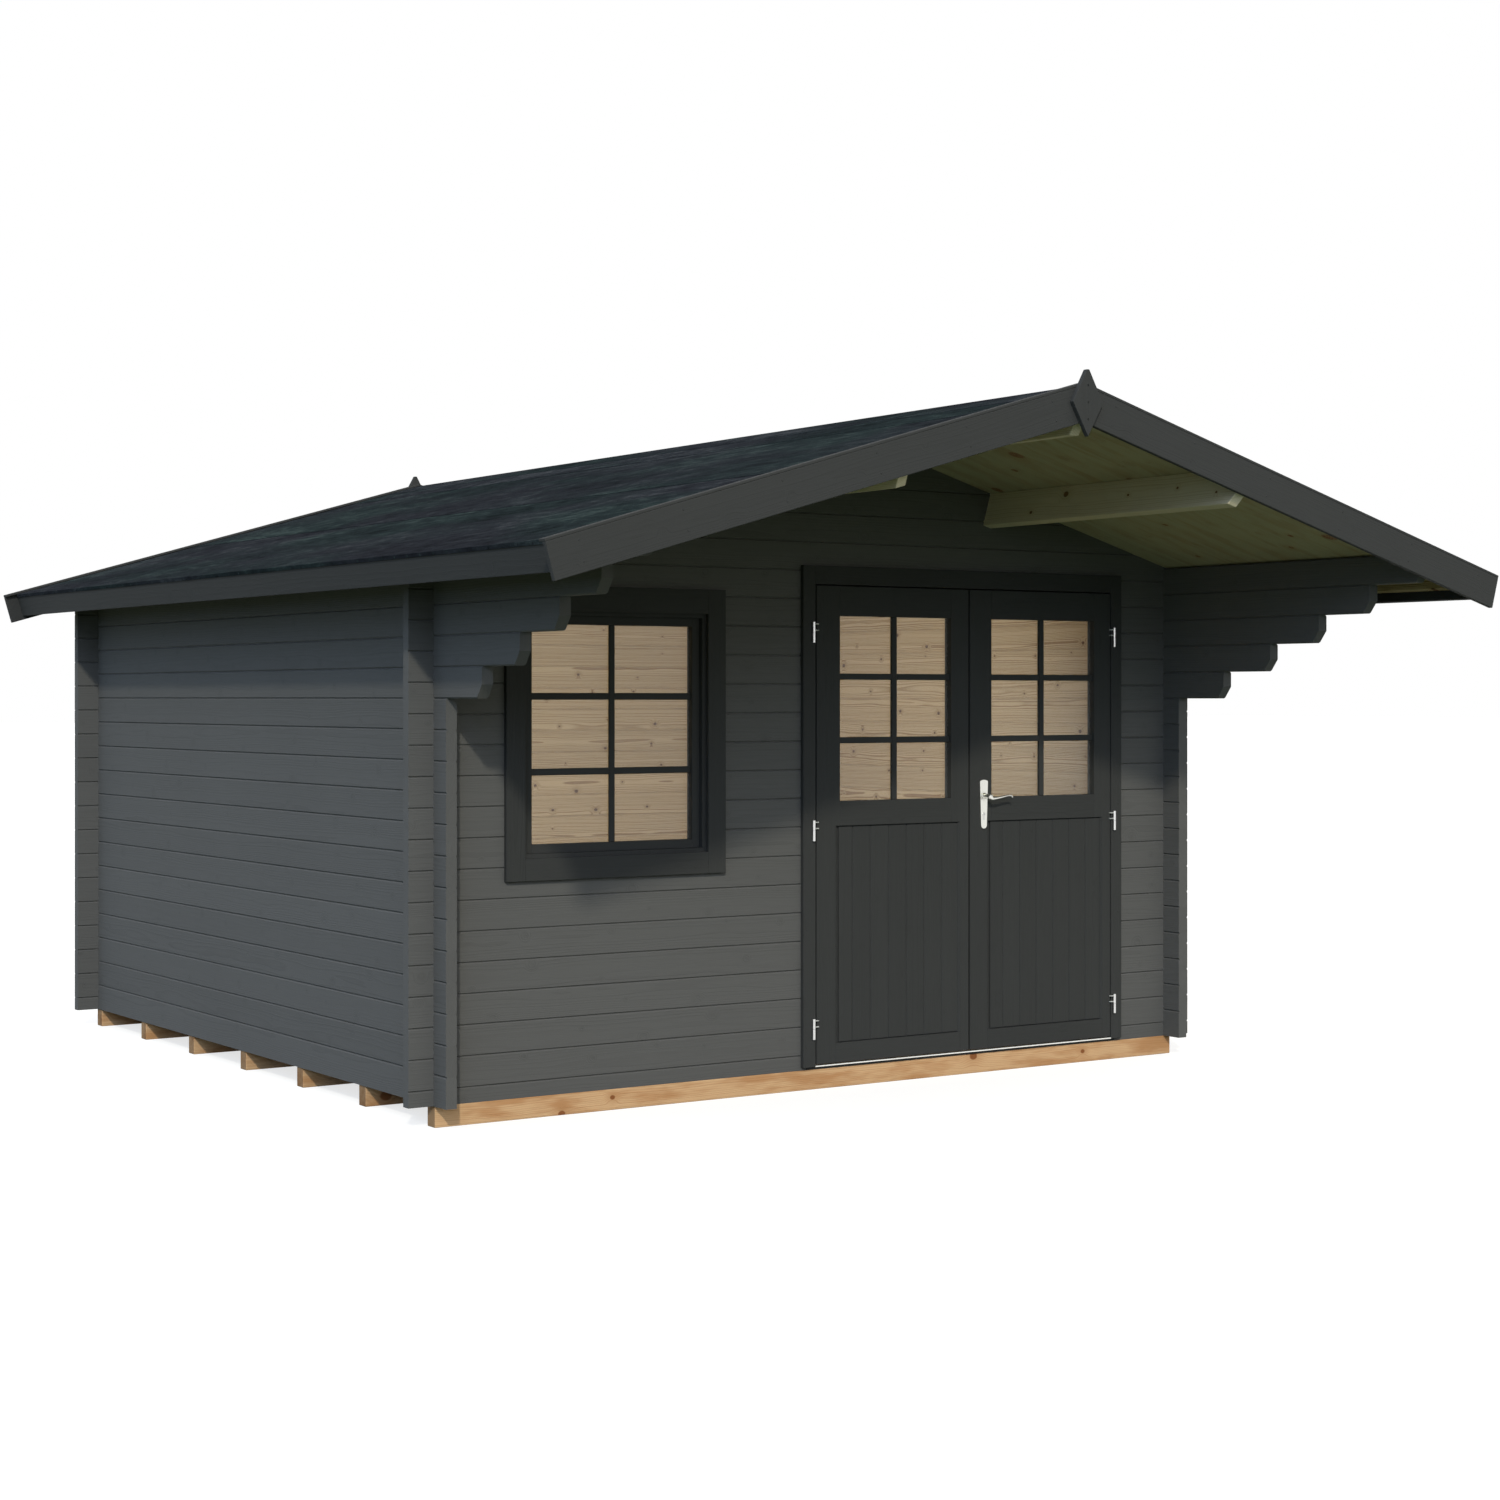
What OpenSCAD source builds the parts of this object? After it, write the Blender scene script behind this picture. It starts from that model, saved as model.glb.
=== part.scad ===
// Wooden garden house of interlocking logs: a square cabin with a pitched roof that runs forward
// as a canopy on stepped log corbels, a fixed window and a glazed double door.
// X runs along the front with 0 under the ridge, Y to the back, Z up with 0 on the ground.

/* [Log walls] */
// Width over the outer faces of the two side walls
house_w = 3600; // [3450:50:4000]
// Depth over the outer faces of the front and rear walls
house_d = 3600; // [3000:50:4200]
// Thickness of a wall log
log_t = 44; // [40:1:50]
// Height of a wall log
log_h = 114; // [112:1:118]
// Number of logs in a side wall
courses = 18; // [18:1:19]
// Length of the crossed log ends outside a corner
corner_out = 100; // [80:5:140]
// Depth of the bevel along the edges of a log
log_bevel = 5; // [3:1:7]

/* [Canopy corbels] */
// Number of side logs that step forward under the canopy
corbels = 5; // [3:1:6]
// How much further each corbel reaches than the one under it
corbel_step = 278; // [240:2:300]
// Length of the bevel at a corbel's nose
nose_run = 38; // [20:1:60]
// Height of the bevel at a corbel's nose
nose_rise = 50; // [30:1:70]

/* [Roof] */
// Pitch of the roof in degrees
roof_pitch = 16.1; // [14:0.1:18]
// How much of the side wall's top outer edge the roof bevels off
plate_bevel = 4; // [3:1:8]
// Reach of the eaves past the outer face of a side wall
eaves_out = 316; // [280:2:360]
// Reach of the roof past the log ends at the back
rear_out = 95; // [60:5:200]
// Thickness of the roof boards
deck_t = 19; // [16:1:24]
// Thickness of the roofing felt
felt_t = 4; // [3:0.5:8]
// Height of the felt's drip edge
drip_h = 12; // [8:1:24]
// Distance of a side purlin from the ridge
purlin_x = 786; // [600:2:900]
// Depth of a side purlin, square to the roof
purlin_h = 140; // [110:2:150]
// Depth of the ridge purlin
ridge_h = 150; // [120:2:160]

/* [Roof trim] */
// Thickness of the barge boards, fascias and finials
trim_t = 20; // [16:1:26]
// Depth of a barge board, square to the roof
barge_h = 136; // [120:1:160]
// Thickness of the capping along a barge board
cap_t = 10; // [6:1:14]
// Width of the capping that lies on the felt behind a barge board
cap_lap = 20; // [10:1:40]
// Reach of a barge board past the fascia
barge_out = 59; // [40:1:80]
// Depth of the eaves fascia
fascia_h = 104; // [80:1:125]
// Width of a finial
finial_w = 140; // [110:2:160]
// Height of a finial above its widest line
finial_up = 117; // [90:1:140]
// Height of a finial below its widest line
finial_down = 121; // [90:1:140]
// How far a finial's widest line lies under the top of the barge boards
finial_drop = 74; // [60:1:90]
// Width of the flat at a finial's top
finial_tip = 11; // [6:1:20]

/* [Floor] */
// Height of the bearers
bearer_h = 80; // [60:1:100]
// Width of a bearer
bearer_w = 60; // [45:1:80]
// Number of bearers
bearers_n = 7; // [5:1:8]
// How far the bearers' ends stop short of the side walls' outer faces
bearer_inset = 5; // [0:1:20]
// How far the last bearer stops short of the rear wall's outer face
bearer_back = 18; // [0:1:22]
// Thickness of the floor boards
floor_t = 19; // [16:1:28]

/* [Window] */
// Plain wall between the left side wall and the window trim
window_gap = 245; // [150:5:260]
// Height of the underside of the window trim above the floor bearers
window_sill = 804; // [700:2:860]
// Width inside the window trim
window_w = 804; // [700:2:840]
// Height inside the window trim
window_h = 923; // [800:2:1000]
// Width of the window trim at the sides
window_trim = 80; // [60:1:95]
// Width of the window trim over the window
window_head = 95; // [70:1:110]
// Width of the window trim under the window
window_foot = 83; // [60:1:100]
// Width of the fixed frame that shows inside the trim
frame_show = 16; // [10:1:24]
// Width of the sash stiles and rails
sash_w = 33; // [26:1:50]

/* [Double door] */
// Plain wall between the right side wall and the door trim
door_gap = 261; // [180:1:300]
// Width of a door leaf
leaf_w = 768; // [740:1:800]
// Thickness of a door leaf
leaf_t = 44; // [38:1:50]
// Gap between the two leaves
leaf_split = 9; // [8:1:14]
// Gap between a leaf and its frame
leaf_clear = 6; // [5:0.5:10]
// Width of the door trim at the sides
door_trim = 59; // [50:1:80]
// Width of the door trim over the door
door_head = 74; // [60:1:90]
// How far the door trim covers the log over the doorway
door_lap = 18; // [10:1:25]
// Width of a leaf's left stile beside the glass
stile_left = 114; // [100:1:130]
// Width of a leaf's right stile beside the glass
stile_right = 91; // [80:1:110]
// Height of a leaf's top rail
rail_top = 119; // [90:1:140]
// Height of the glass in a leaf
door_glass_h = 744; // [600:2:780]
// Height of a leaf's middle rail
rail_mid = 99; // [80:1:120]
// Height of a leaf's bottom rail
rail_low = 78; // [60:1:120]
// How much further left than the glass the boarded panel starts
panel_left = 13; // [0:1:25]
// How much further right than the glass the boarded panel ends
panel_right = 38; // [0:1:45]
// Depth of the boarded panel's recess
panel_in = 8; // [4:1:12]
// Thickness of the boarded panel
panel_t = 20; // [14:1:24]

/* [Glass] */
// Thickness of the glass
glass_t = 4; // [3:1:6]
// Depth of the glass behind the face of a door leaf
glass_in = 20; // [14:1:24]

/* [Hinges] */
// Radius of a hinge barrel
barrel_r = 6.5; // [5:0.5:8]
// Length of a hinge barrel
barrel_l = 82; // [70:1:100]
// Radius of a hinge pin
pin_r = 3; // [2.5:0.1:3.5]
// Distance of the hinge line from the edge of the leaf
hinge_out = 19; // [17:1:24]
// Distance of the top hinge's middle from the top of the leaf
hinge_top = 187; // [150:1:250]
// Distance of the bottom hinge's middle from the bottom of the leaf
hinge_low = 142; // [110:1:220]

/* [Handle] */
// Distance of the lever's axis from the edge of the right leaf
handle_in = 68; // [60:1:80]
// Height of the lever's axis above the bottom of the leaf
lever_z = 1055; // [950:1:1060]
// Length of a back plate
plate_l = 203; // [180:1:230]
// Width of a back plate at its top
plate_w = 42; // [36:1:46]
// Width of a back plate at its foot
plate_foot = 30; // [28:1:40]
// Thickness of a back plate
plate_t = 7; // [5:1:9]
// Distance of the lever's axis under the top of the back plate
plate_up = 66; // [50:1:80]
// Length of a lever from its axis to its tip
lever_l = 121; // [100:1:140]
// Distance of the lever's front from the face of the leaf
lever_out = 50; // [45:1:65]
// Radius of the square spindle's round stand-in
spindle_r = 5; // [4:0.5:6]

/* [Hidden] */

half_w = house_w / 2;
wall_top = bearer_h + courses * log_h;
half_log = log_h / 2;
cut = 1; // how far a cutting solid runs past what it cuts
far = house_w + house_d; // longer than anything here

// Roof
slope = tan(roof_pitch);
deck_v = deck_t / cos(roof_pitch);
felt_v = felt_t / cos(roof_pitch);
cap_v = cap_t / cos(roof_pitch);
seat = 0.2; // play left where a slanted face rests on another
eave_x = half_w + eaves_out;
deck_top = deck_v;
felt_top = deck_top + felt_v;
barge_top = felt_top + seat + cap_v;
canopy_front = -(corner_out + corbels * corbel_step);
roof_back = house_d + corner_out + rear_out;
finial_z = roof_z(0) + barge_top - finial_drop;

// The origin is under the middle of the whole house, finials included.
front_y = -(canopy_front + roof_back) / 2;

// Window, in the left part of the front wall
trim_lap = 25; // how far window and door trims cover the wall beside an opening
window_x0 = -half_w + log_t + window_gap + window_trim;
window_z0 = bearer_h + window_sill + window_foot;
frame_proud = 18; // how far the frames stand out of the wall inside
frame_depth = log_t + frame_proud;
flange_w = 22; // how far their flanges reach over the wall inside
sash_y = 22; // face of the sash behind the wall's face
sash_t = 38;
pane_in = 18; // depth of the window glass behind the face of the sash
window_glass_y = sash_y + pane_in;

// Door, in the right part of the front wall
door_x1 = half_w - log_t - door_gap - door_trim;
door_w = 2 * leaf_w + leaf_split + 2 * leaf_clear;
door_x0 = door_x1 - door_w;
head_joint = bearer_h + half_log + (courses - 1) * log_h;
door_z1 = head_joint + door_lap - door_head;
threshold_t = 5;
floor_clear = 5; // room between a leaf and the threshold
sill_t = 12;
threshold_z = bearer_h + sill_t;
leaf_z0 = threshold_z + threshold_t + floor_clear;
leaf_z1 = door_z1 - leaf_clear;
leaf_h = leaf_z1 - leaf_z0;
leaf_y = -trim_t;
stop_lap = 15; // how far the frame's stop reaches behind a leaf
stop_gap = 5; // room between a leaf and the stop
leaf_left_x = door_x0 + leaf_clear;
leaf_right_x = leaf_left_x + leaf_w + leaf_split;
door_glass_w = leaf_w - stile_left - stile_right;
glass_z0 = leaf_z1 - rail_top - door_glass_h;
panel_z0 = leaf_z0 + rail_low;
panel_h = glass_z0 - rail_mid - panel_z0;
panel_w = door_glass_w + panel_left + panel_right;

// Hinges and handle
barrel_play = 0.5; // room between a barrel and the face of the leaf
hinge_y = leaf_y - barrel_r - barrel_play;
hinge_left_x = leaf_left_x - hinge_out;
hinge_right_x = leaf_right_x + leaf_w + hinge_out;
hinge_low_z = leaf_z0 + hinge_low;
hinge_top_z = leaf_z1 - hinge_top;
hinge_levels = [hinge_low_z, (hinge_low_z + hinge_top_z) / 2, hinge_top_z];
pin_play = 0.1;
barrel_gap = 1;
arm_r = 2.6; // radius of the arms that carry a barrel
arm_in = 3; // how far from the edge of the leaf its arms go in
arm_play = 8; // distance of a barrel's two arms from its ends
handle_x = leaf_right_x + handle_in;
handle_z = leaf_z0 + lever_z;
spindle_play = 1;
lever_t = 10; // thickness of a lever's grip, front to back
neck_r = 9;
crown_r = 42; // radius of a back plate's flat top arc
grip_half_root = 7; // half the grip's height at its root
grip_half_tip = 3.5; // and at its tip
grip_dip = 11; // how far the grip's root lies under the lever's axis
grip_turn = 115; // how far its wave runs, in degrees
grip_curl = 12; // how far its tip curls down

// Height of the roof boards' underside at a distance from the ridge
function roof_z(x) = wall_top - plate_bevel + (half_w - abs(x)) * slope;

// Height of what carries the roof boards
function rest_z(x) = roof_z(x) - seat;

// Heights of the joints between the logs of a wall whose first log is this high
function log_joints(first) = [for (z = [bearer_h + first:log_h:wall_top + half_w]) z];

module in_place() translate([0, front_y, 0]) children();

// Runs a flat outline drawn in X and Z along Y
module run_y(y0, y1) translate([0, y1, 0]) rotate([90, 0, 0]) linear_extrude(y1 - y0) children();

// Runs a flat outline drawn in Y and Z along X
module run_x(x0, x1) translate([x0, 0, 0]) rotate([90, 0, 90]) linear_extrude(x1 - x0) children();

module box(x0, x1, y0, y1, z0, z1) translate([x0, y0, z0]) cube([x1 - x0, y1 - y0, z1 - z0]);

// A rectangular ring around an opening, with its own width on each side
module ring(x0, x1, y0, y1, z0, z1, left, right, low, high)
    difference() {
        box(x0 - left, x1 + right, y0, y1, z0 - low, z1 + high);
        box(x0, x1, y0 - cut, y1 + cut, z0, z1);
    }

// Section through a wall of logs with bevelled edges
module log_section(first) {
    joints = log_joints(first);
    n = len(joints);
    top = joints[n - 1] + half_log;
    polygon(concat(
        [[0, bearer_h]],
        [for (z = joints) each [[0, z - log_bevel], [log_bevel, z], [0, z + log_bevel]]],
        [[0, top], [log_t, top]],
        [for (i = [n - 1:-1:0]) each [
            [log_t, joints[i] + log_bevel],
            [log_t - log_bevel, joints[i]],
            [log_t, joints[i] - log_bevel]
        ]],
        [[log_t, bearer_h]]
    ));
}

module under_roof()
    run_y(-far, far)
        polygon([[-far, -far], [-far, rest_z(far)], [0, rest_z(0)], [far, rest_z(far)], [far, -far]]);

// What the logs of the crossing wall take out of a log wall at a corner
module corner_notches(first, x0, x1, y0, y1)
    for (z = concat(first == log_h ? [bearer_h] : [], log_joints(first)))
        box(x0, x1, y0, y1, z - half_log / 2, z + half_log / 2);

// ---- log walls ----

// The logs of the right side wall between two places in Y
module side_logs(y0, y1)
    intersection() {
        translate([half_w - log_t, 0, 0]) run_y(y0, y1) log_section(log_h);
        box(0, far, y0, y1, bearer_h, wall_top);
        under_roof();
    }

module side_wall()
    in_place()
        difference() {
            side_logs(-corner_out, house_d + corner_out);
            for (y = [0, house_d - log_t])
                corner_notches(log_h, half_w - log_t - cut, half_w + cut, y, y + log_t);
        }

// The same logs where they run on under the canopy, each a step further than the one below
module side_corbels() {
    first = courses - corbels;
    in_place()
        intersection() {
            side_logs(canopy_front, -corner_out);
            run_x(0, far)
                polygon(concat(
                    [[-corner_out, wall_top]],
                    [for (i = [corbels:-1:1])
                        let (y = -corner_out - i * corbel_step, z = bearer_h + (first + i) * log_h)
                        each [[y, z], [y, z - log_h + nose_rise], [y + nose_run, z - log_h]]],
                    [[-corner_out, bearer_h + first * log_h]]
                ));
        }
}

module right_wall() color("slategray") side_wall();
module left_wall() color("slategray") mirror([1, 0, 0]) side_wall();
module corbels_right() color("slategray") side_corbels();
module corbels_left() color("slategray") mirror([1, 0, 0]) side_corbels();

// A stretch of the front or rear wall between two heights
module cross_wall(y, x0, x1, z0, z1)
    difference() {
        intersection() {
            translate([0, y, 0]) run_x(x0, x1) log_section(half_log);
            box(x0, x1, y, y + log_t, z0, z1);
            under_roof();
        }
        for (x = [-half_w, half_w - log_t])
            corner_notches(half_log, x, x + log_t, y - cut, y + log_t + cut);
        purlins(cut);
    }

module window_hole()
    box(window_x0 - window_trim + trim_lap, window_x0 + window_w + window_trim - trim_lap,
        -cut, log_t + cut,
        window_z0 - window_foot + trim_lap, window_z0 + window_h + window_head - trim_lap);

module front_wall_left()
    color("slategray") in_place()
        difference() {
            cross_wall(0, -half_w - corner_out, door_x0 - door_trim + trim_lap, bearer_h, head_joint);
            window_hole();
        }

module front_wall_right()
    color("slategray") in_place()
        cross_wall(0, door_x1 + door_trim - trim_lap, half_w + corner_out, bearer_h, head_joint);

module front_gable()
    color("slategray") in_place()
        cross_wall(0, -half_w - corner_out, half_w + corner_out, head_joint, far);

module rear_wall()
    color("slategray") in_place()
        cross_wall(house_d - log_t, -half_w - corner_out, half_w + corner_out, bearer_h, far);

// ---- roof timbers ----

// Outline of a purlin with a bevelled nose, in Y and Z, from this high down to a depth h
module purlin_outline(h, rise)
    polygon([
        [canopy_front, rise], [canopy_front, nose_rise - h], [canopy_front + nose_run, -h],
        [roof_back, -h], [roof_back, rise]
    ]);

module side_purlin(rise = 0)
    translate([purlin_x, 0, rest_z(purlin_x)])
        rotate([0, roof_pitch, 0])
            run_x(0, log_t) purlin_outline(purlin_h, rise);

module top_purlin(rise = 0)
    translate([0, 0, rest_z(0)]) run_x(-log_t / 2, log_t / 2) purlin_outline(ridge_h, rise);

// The purlins with their tops raised, as a wall's notches for them
module purlins(rise) {
    top_purlin(rise);
    side_purlin(rise);
    mirror([1, 0, 0]) side_purlin(rise);
}

module ridge_purlin()
    color("burlywood") in_place()
        intersection() {
            top_purlin();
            under_roof();
        }

module purlin_right() color("burlywood") in_place() side_purlin();
module purlin_left() color("burlywood") in_place() mirror([1, 0, 0]) side_purlin();

// ---- roof covering and trim ----

// A point this far down the slope from the fascia's top corner, and this far up from the boards
function eave_at(along, up) = [
    eave_x + along * cos(roof_pitch) + up * sin(roof_pitch),
    roof_z(eave_x) + deck_top - along * sin(roof_pitch) + up * cos(roof_pitch)
];

module boards_side()
    run_y(canopy_front, roof_back)
        polygon([
            [0, roof_z(0)], eave_at(-trim_t, -deck_t),
            eave_at(-trim_t, 0), [0, roof_z(0) + deck_top]
        ]);

module felt_side()
    run_y(canopy_front, roof_back)
        polygon([
            [0, roof_z(0) + deck_top], eave_at(0, 0), eave_at(0, -drip_h),
            eave_at(felt_t, -drip_h), eave_at(felt_t, felt_t), [0, roof_z(0) + felt_top]
        ]);

// The eaves board, square to the roof's slope
module fascia_side()
    run_y(canopy_front, roof_back)
        polygon([
            eave_at(-seat, -seat), eave_at(-seat, -fascia_h),
            eave_at(seat - trim_t, -fascia_h), eave_at(seat - trim_t, -seat)
        ]);

// Board of this depth along the roof's edge, cut square at the eaves
module slope_board(depth) {
    x = eave_x + barge_out;
    top = roof_z(x) + barge_top;
    polygon([
        [0, roof_z(0) + barge_top], [x, top],
        [x - depth * sin(roof_pitch), top - depth * cos(roof_pitch)],
        [0, roof_z(0) + barge_top - depth / cos(roof_pitch)]
    ]);
}

module barge_front_side() {
    run_y(canopy_front - trim_t, canopy_front) slope_board(barge_h);
    run_y(canopy_front - cut, canopy_front + cap_lap) slope_board(cap_t);
}

module barge_rear_side() {
    run_y(roof_back, roof_back + trim_t) slope_board(barge_h);
    run_y(roof_back - cap_lap, roof_back + cut) slope_board(cap_t);
}

module finial(y)
    run_y(y, y + trim_t)
        polygon([
            [-finial_w / 2, finial_z], [0, finial_z - finial_down], [finial_w / 2, finial_z],
            [finial_tip / 2, finial_z + finial_up], [-finial_tip / 2, finial_z + finial_up]
        ]);

module roof_boards_right() color("tan") in_place() boards_side();
module roof_boards_left() color("tan") in_place() mirror([1, 0, 0]) boards_side();
module roof_felt_right() color("darkslategray") in_place() felt_side();
module roof_felt_left() color("darkslategray") in_place() mirror([1, 0, 0]) felt_side();
module fascia_right() color("dimgray") in_place() fascia_side();
module fascia_left() color("dimgray") in_place() mirror([1, 0, 0]) fascia_side();
module barge_front_right() color("dimgray") in_place() barge_front_side();
module barge_front_left() color("dimgray") in_place() mirror([1, 0, 0]) barge_front_side();
module barge_rear_right() color("dimgray") in_place() barge_rear_side();
module barge_rear_left() color("dimgray") in_place() mirror([1, 0, 0]) barge_rear_side();
module finial_front() color("dimgray") in_place() finial(canopy_front - 2 * trim_t);
module finial_rear() color("dimgray") in_place() finial(roof_back + trim_t);

// ---- floor ----

module bearers() {
    pitch = (house_d - bearer_back - bearer_w) / (bearers_n - 1);
    color("peru") in_place()
        for (i = [0:bearers_n - 1])
            box(-half_w + bearer_inset, half_w - bearer_inset,
                i * pitch, i * pitch + bearer_w, 0, bearer_h);
}

module floor_boards()
    color("tan") in_place()
        difference() {
            box(-half_w + log_t, half_w - log_t, log_t, house_d - log_t,
                bearer_h, bearer_h + floor_t);
            door_ring();
        }

// ---- window ----

module window_ring(y0, y1, grow, left, right, low, high)
    ring(window_x0 - grow, window_x0 + window_w + grow, y0, y1,
         window_z0 - grow, window_z0 + window_h + grow, left, right, low, high);

module window_trim_boards()
    color("dimgray") in_place()
        window_ring(-trim_t, 0, 0, window_trim, window_trim, window_foot, window_head);

module window_frame()
    color("dimgray") in_place() {
        side = frame_show + window_trim - trim_lap;
        low = frame_show + window_foot - trim_lap;
        high = frame_show + window_head - trim_lap;
        window_ring(0, frame_depth, -frame_show, side, side, low, high);
        window_ring(log_t, frame_depth, -frame_show, side + flange_w, side + flange_w,
                    low + flange_w, high + flange_w);
    }

module window_pane()
    box(window_x0 + frame_show + sash_w / 2, window_x0 + window_w - frame_show - sash_w / 2,
        window_glass_y, window_glass_y + glass_t,
        window_z0 + frame_show + sash_w / 2, window_z0 + window_h - frame_show - sash_w / 2);

module window_sash()
    color("dimgray") in_place()
        difference() {
            window_ring(sash_y, sash_y + sash_t, -frame_show - sash_w, sash_w, sash_w, sash_w, sash_w);
            window_pane();
        }

module window_glass() color("lightblue", 0.4) in_place() window_pane();

// ---- door frame ----

module door_trim_boards()
    color("dimgray") in_place()
        difference() {
            box(door_x0 - door_trim, door_x1 + door_trim, -trim_t, 0,
                threshold_z, door_z1 + door_head);
            box(door_x0, door_x1, -trim_t - cut, cut, 0, door_z1);
        }

// Outer block of the door frame with the flange that covers the inside of the wall
module door_ring() {
    side = door_trim - trim_lap;
    box(door_x0 - side, door_x1 + side, 0, frame_depth, bearer_h, head_joint);
    box(door_x0 - side - flange_w, door_x1 + side + flange_w, log_t, frame_depth,
        bearer_h, head_joint + flange_w);
}

module door_frame() {
    stop_y = leaf_y + leaf_t + stop_gap;
    color("dimgray") in_place()
        difference() {
            door_ring();
            box(door_x0, door_x1, -cut, stop_y, threshold_z, door_z1);
            box(door_x0 + leaf_clear + stop_lap, door_x1 - leaf_clear - stop_lap,
                -cut, frame_depth + cut, threshold_z, door_z1 - leaf_clear - stop_lap);
        }
}

module door_threshold() {
    stop_y = leaf_y + leaf_t + stop_gap;
    color("gainsboro") in_place()
        box(door_x0, door_x1, leaf_y, stop_y, threshold_z, threshold_z + threshold_t);
}

// ---- door leaves ----

module leaf(x)
    difference() {
        box(x, x + leaf_w, leaf_y, leaf_y + leaf_t, leaf_z0, leaf_z1);
        box(x + stile_left, x + stile_left + door_glass_w, leaf_y - cut, leaf_y + leaf_t + cut,
            glass_z0, glass_z0 + door_glass_h);
        box(x + stile_left - panel_left, x + stile_left - panel_left + panel_w,
            leaf_y - cut, leaf_y + leaf_t + cut, panel_z0, panel_z0 + panel_h);
    }

module panel(x)
    box(x + stile_left - panel_left, x + stile_left - panel_left + panel_w,
        leaf_y + panel_in, leaf_y + panel_in + panel_t, panel_z0, panel_z0 + panel_h);

module pane(x)
    box(x + stile_left, x + stile_left + door_glass_w,
        leaf_y + glass_in, leaf_y + glass_in + glass_t, glass_z0, glass_z0 + door_glass_h);

module door_leaf_left() color("dimgray") in_place() leaf(leaf_left_x);
module door_panel_left() color("dimgray") in_place() panel(leaf_left_x);
module door_panel_right() color("dimgray") in_place() panel(leaf_right_x);
module door_glass_left() color("lightblue", 0.4) in_place() pane(leaf_left_x);
module door_glass_right() color("lightblue", 0.4) in_place() pane(leaf_right_x);

module door_leaf_right()
    color("dimgray") in_place()
        difference() {
            leaf(leaf_right_x);
            along_handle(leaf_y - cut, leaf_t + 2 * cut)
                cylinder(h = leaf_t + 2 * cut, r = spindle_r + spindle_play, $fn = 48);
        }

// ---- hinges ----

// A rod along Y from the barrel's axis to the face of the trim and the leaf
module arm_foot() rotate([-90, 0, 0]) cylinder(h = leaf_y - hinge_y, r = arm_r, $fn = 24);

// Lower half of a hinge barrel with its pin, on an arm that goes straight into the frame
module hinge_post() {
    half = (barrel_l - barrel_gap) / 2;
    translate([0, 0, -barrel_l / 2]) cylinder(h = half, r = barrel_r, $fn = 48);
    translate([0, 0, -barrel_l / 2]) cylinder(h = barrel_l - barrel_r, r = pin_r, $fn = 32);
    translate([0, 0, -barrel_l / 4]) arm_foot();
}

// Upper half of a hinge barrel with two arms into the leaf; side is 1 where the leaf lies to the right
module hinge_knuckle(side) {
    half = (barrel_l - barrel_gap) / 2;
    reach = hinge_out + arm_in;
    difference() {
        union() {
            translate([0, 0, barrel_gap / 2]) cylinder(h = half, r = barrel_r, $fn = 48);
            for (z = [barrel_gap / 2 + arm_play, barrel_l / 2 - arm_play]) {
                translate([0, 0, z]) rotate([0, side * 90, 0]) cylinder(h = reach, r = arm_r, $fn = 24);
                translate([side * reach, 0, z]) sphere(r = arm_r, $fn = 24);
                translate([side * reach, 0, z]) arm_foot();
            }
        }
        cylinder(h = barrel_l / 2 - barrel_r + pin_play, r = pin_r + pin_play, $fn = 32);
    }
}

module hinge_posts()
    color("silver") in_place()
        for (z = hinge_levels) {
            translate([hinge_left_x, hinge_y, z]) hinge_post();
            translate([hinge_right_x, hinge_y, z]) hinge_post();
        }

module hinge_knuckles_left()
    color("silver") in_place()
        for (z = hinge_levels) translate([hinge_left_x, hinge_y, z]) hinge_knuckle(1);

module hinge_knuckles_right()
    color("silver") in_place()
        for (z = hinge_levels) translate([hinge_right_x, hinge_y, z]) hinge_knuckle(-1);

// ---- handle ----

// Turns a piece so that its own Z runs along Y through the lever's axis
module along_handle(y, length)
    translate([handle_x, y + length, handle_z]) rotate([90, 0, 0]) children();

// Back plate, crowned at its top, round and narrower at its foot
module plate(y) {
    top_z = handle_z + plate_up;
    foot_z = top_z - plate_l;
    top_r = plate_w / 2;
    foot_r = plate_foot / 2;
    difference() {
        union() {
            intersection() {
                run_y(y, y + plate_t)
                    polygon([
                        [handle_x - foot_r, foot_z + foot_r], [handle_x + foot_r, foot_z + foot_r],
                        [handle_x + top_r, top_z], [handle_x - top_r, top_z]
                    ]);
                union() {
                    box(handle_x - plate_w, handle_x + plate_w, y - cut, y + plate_t + cut,
                        foot_z, top_z - crown_r);
                    translate([handle_x, y + plate_t + cut, top_z - crown_r])
                        rotate([90, 0, 0]) cylinder(h = plate_t + 2 * cut, r = crown_r, $fn = 96);
                }
            }
            translate([handle_x, y + plate_t, foot_z + foot_r])
                rotate([90, 0, 0]) cylinder(h = plate_t, r = foot_r, $fn = 64);
        }
        along_handle(y - cut, plate_t + 2 * cut)
            cylinder(h = plate_t + 2 * cut, r = spindle_r + spindle_play, $fn = 48);
    }
}

// Grip of a lever: a bar that dips at its root, thins to its tip and curls down there, in X and Z
function grip_mid(t) = -grip_dip * cos(grip_turn * t) - grip_curl * pow(t, 16);
function grip_half(t) = grip_half_root + (grip_half_tip - grip_half_root) * t;

module grip(y) {
    steps = [0:1 / 16:1];
    translate([handle_x, 0, handle_z]) {
        run_y(y, y + lever_t)
            polygon(concat(
                [for (t = steps) [t * lever_l, grip_mid(t) - grip_half(t)]],
                [for (t = steps) [(1 - t) * lever_l, grip_mid(1 - t) + grip_half(1 - t)]]
            ));
        translate([0, y + lever_t, 0]) rotate([90, 0, 0]) cylinder(h = lever_t, r = neck_r, $fn = 48);
    }
}

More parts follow.
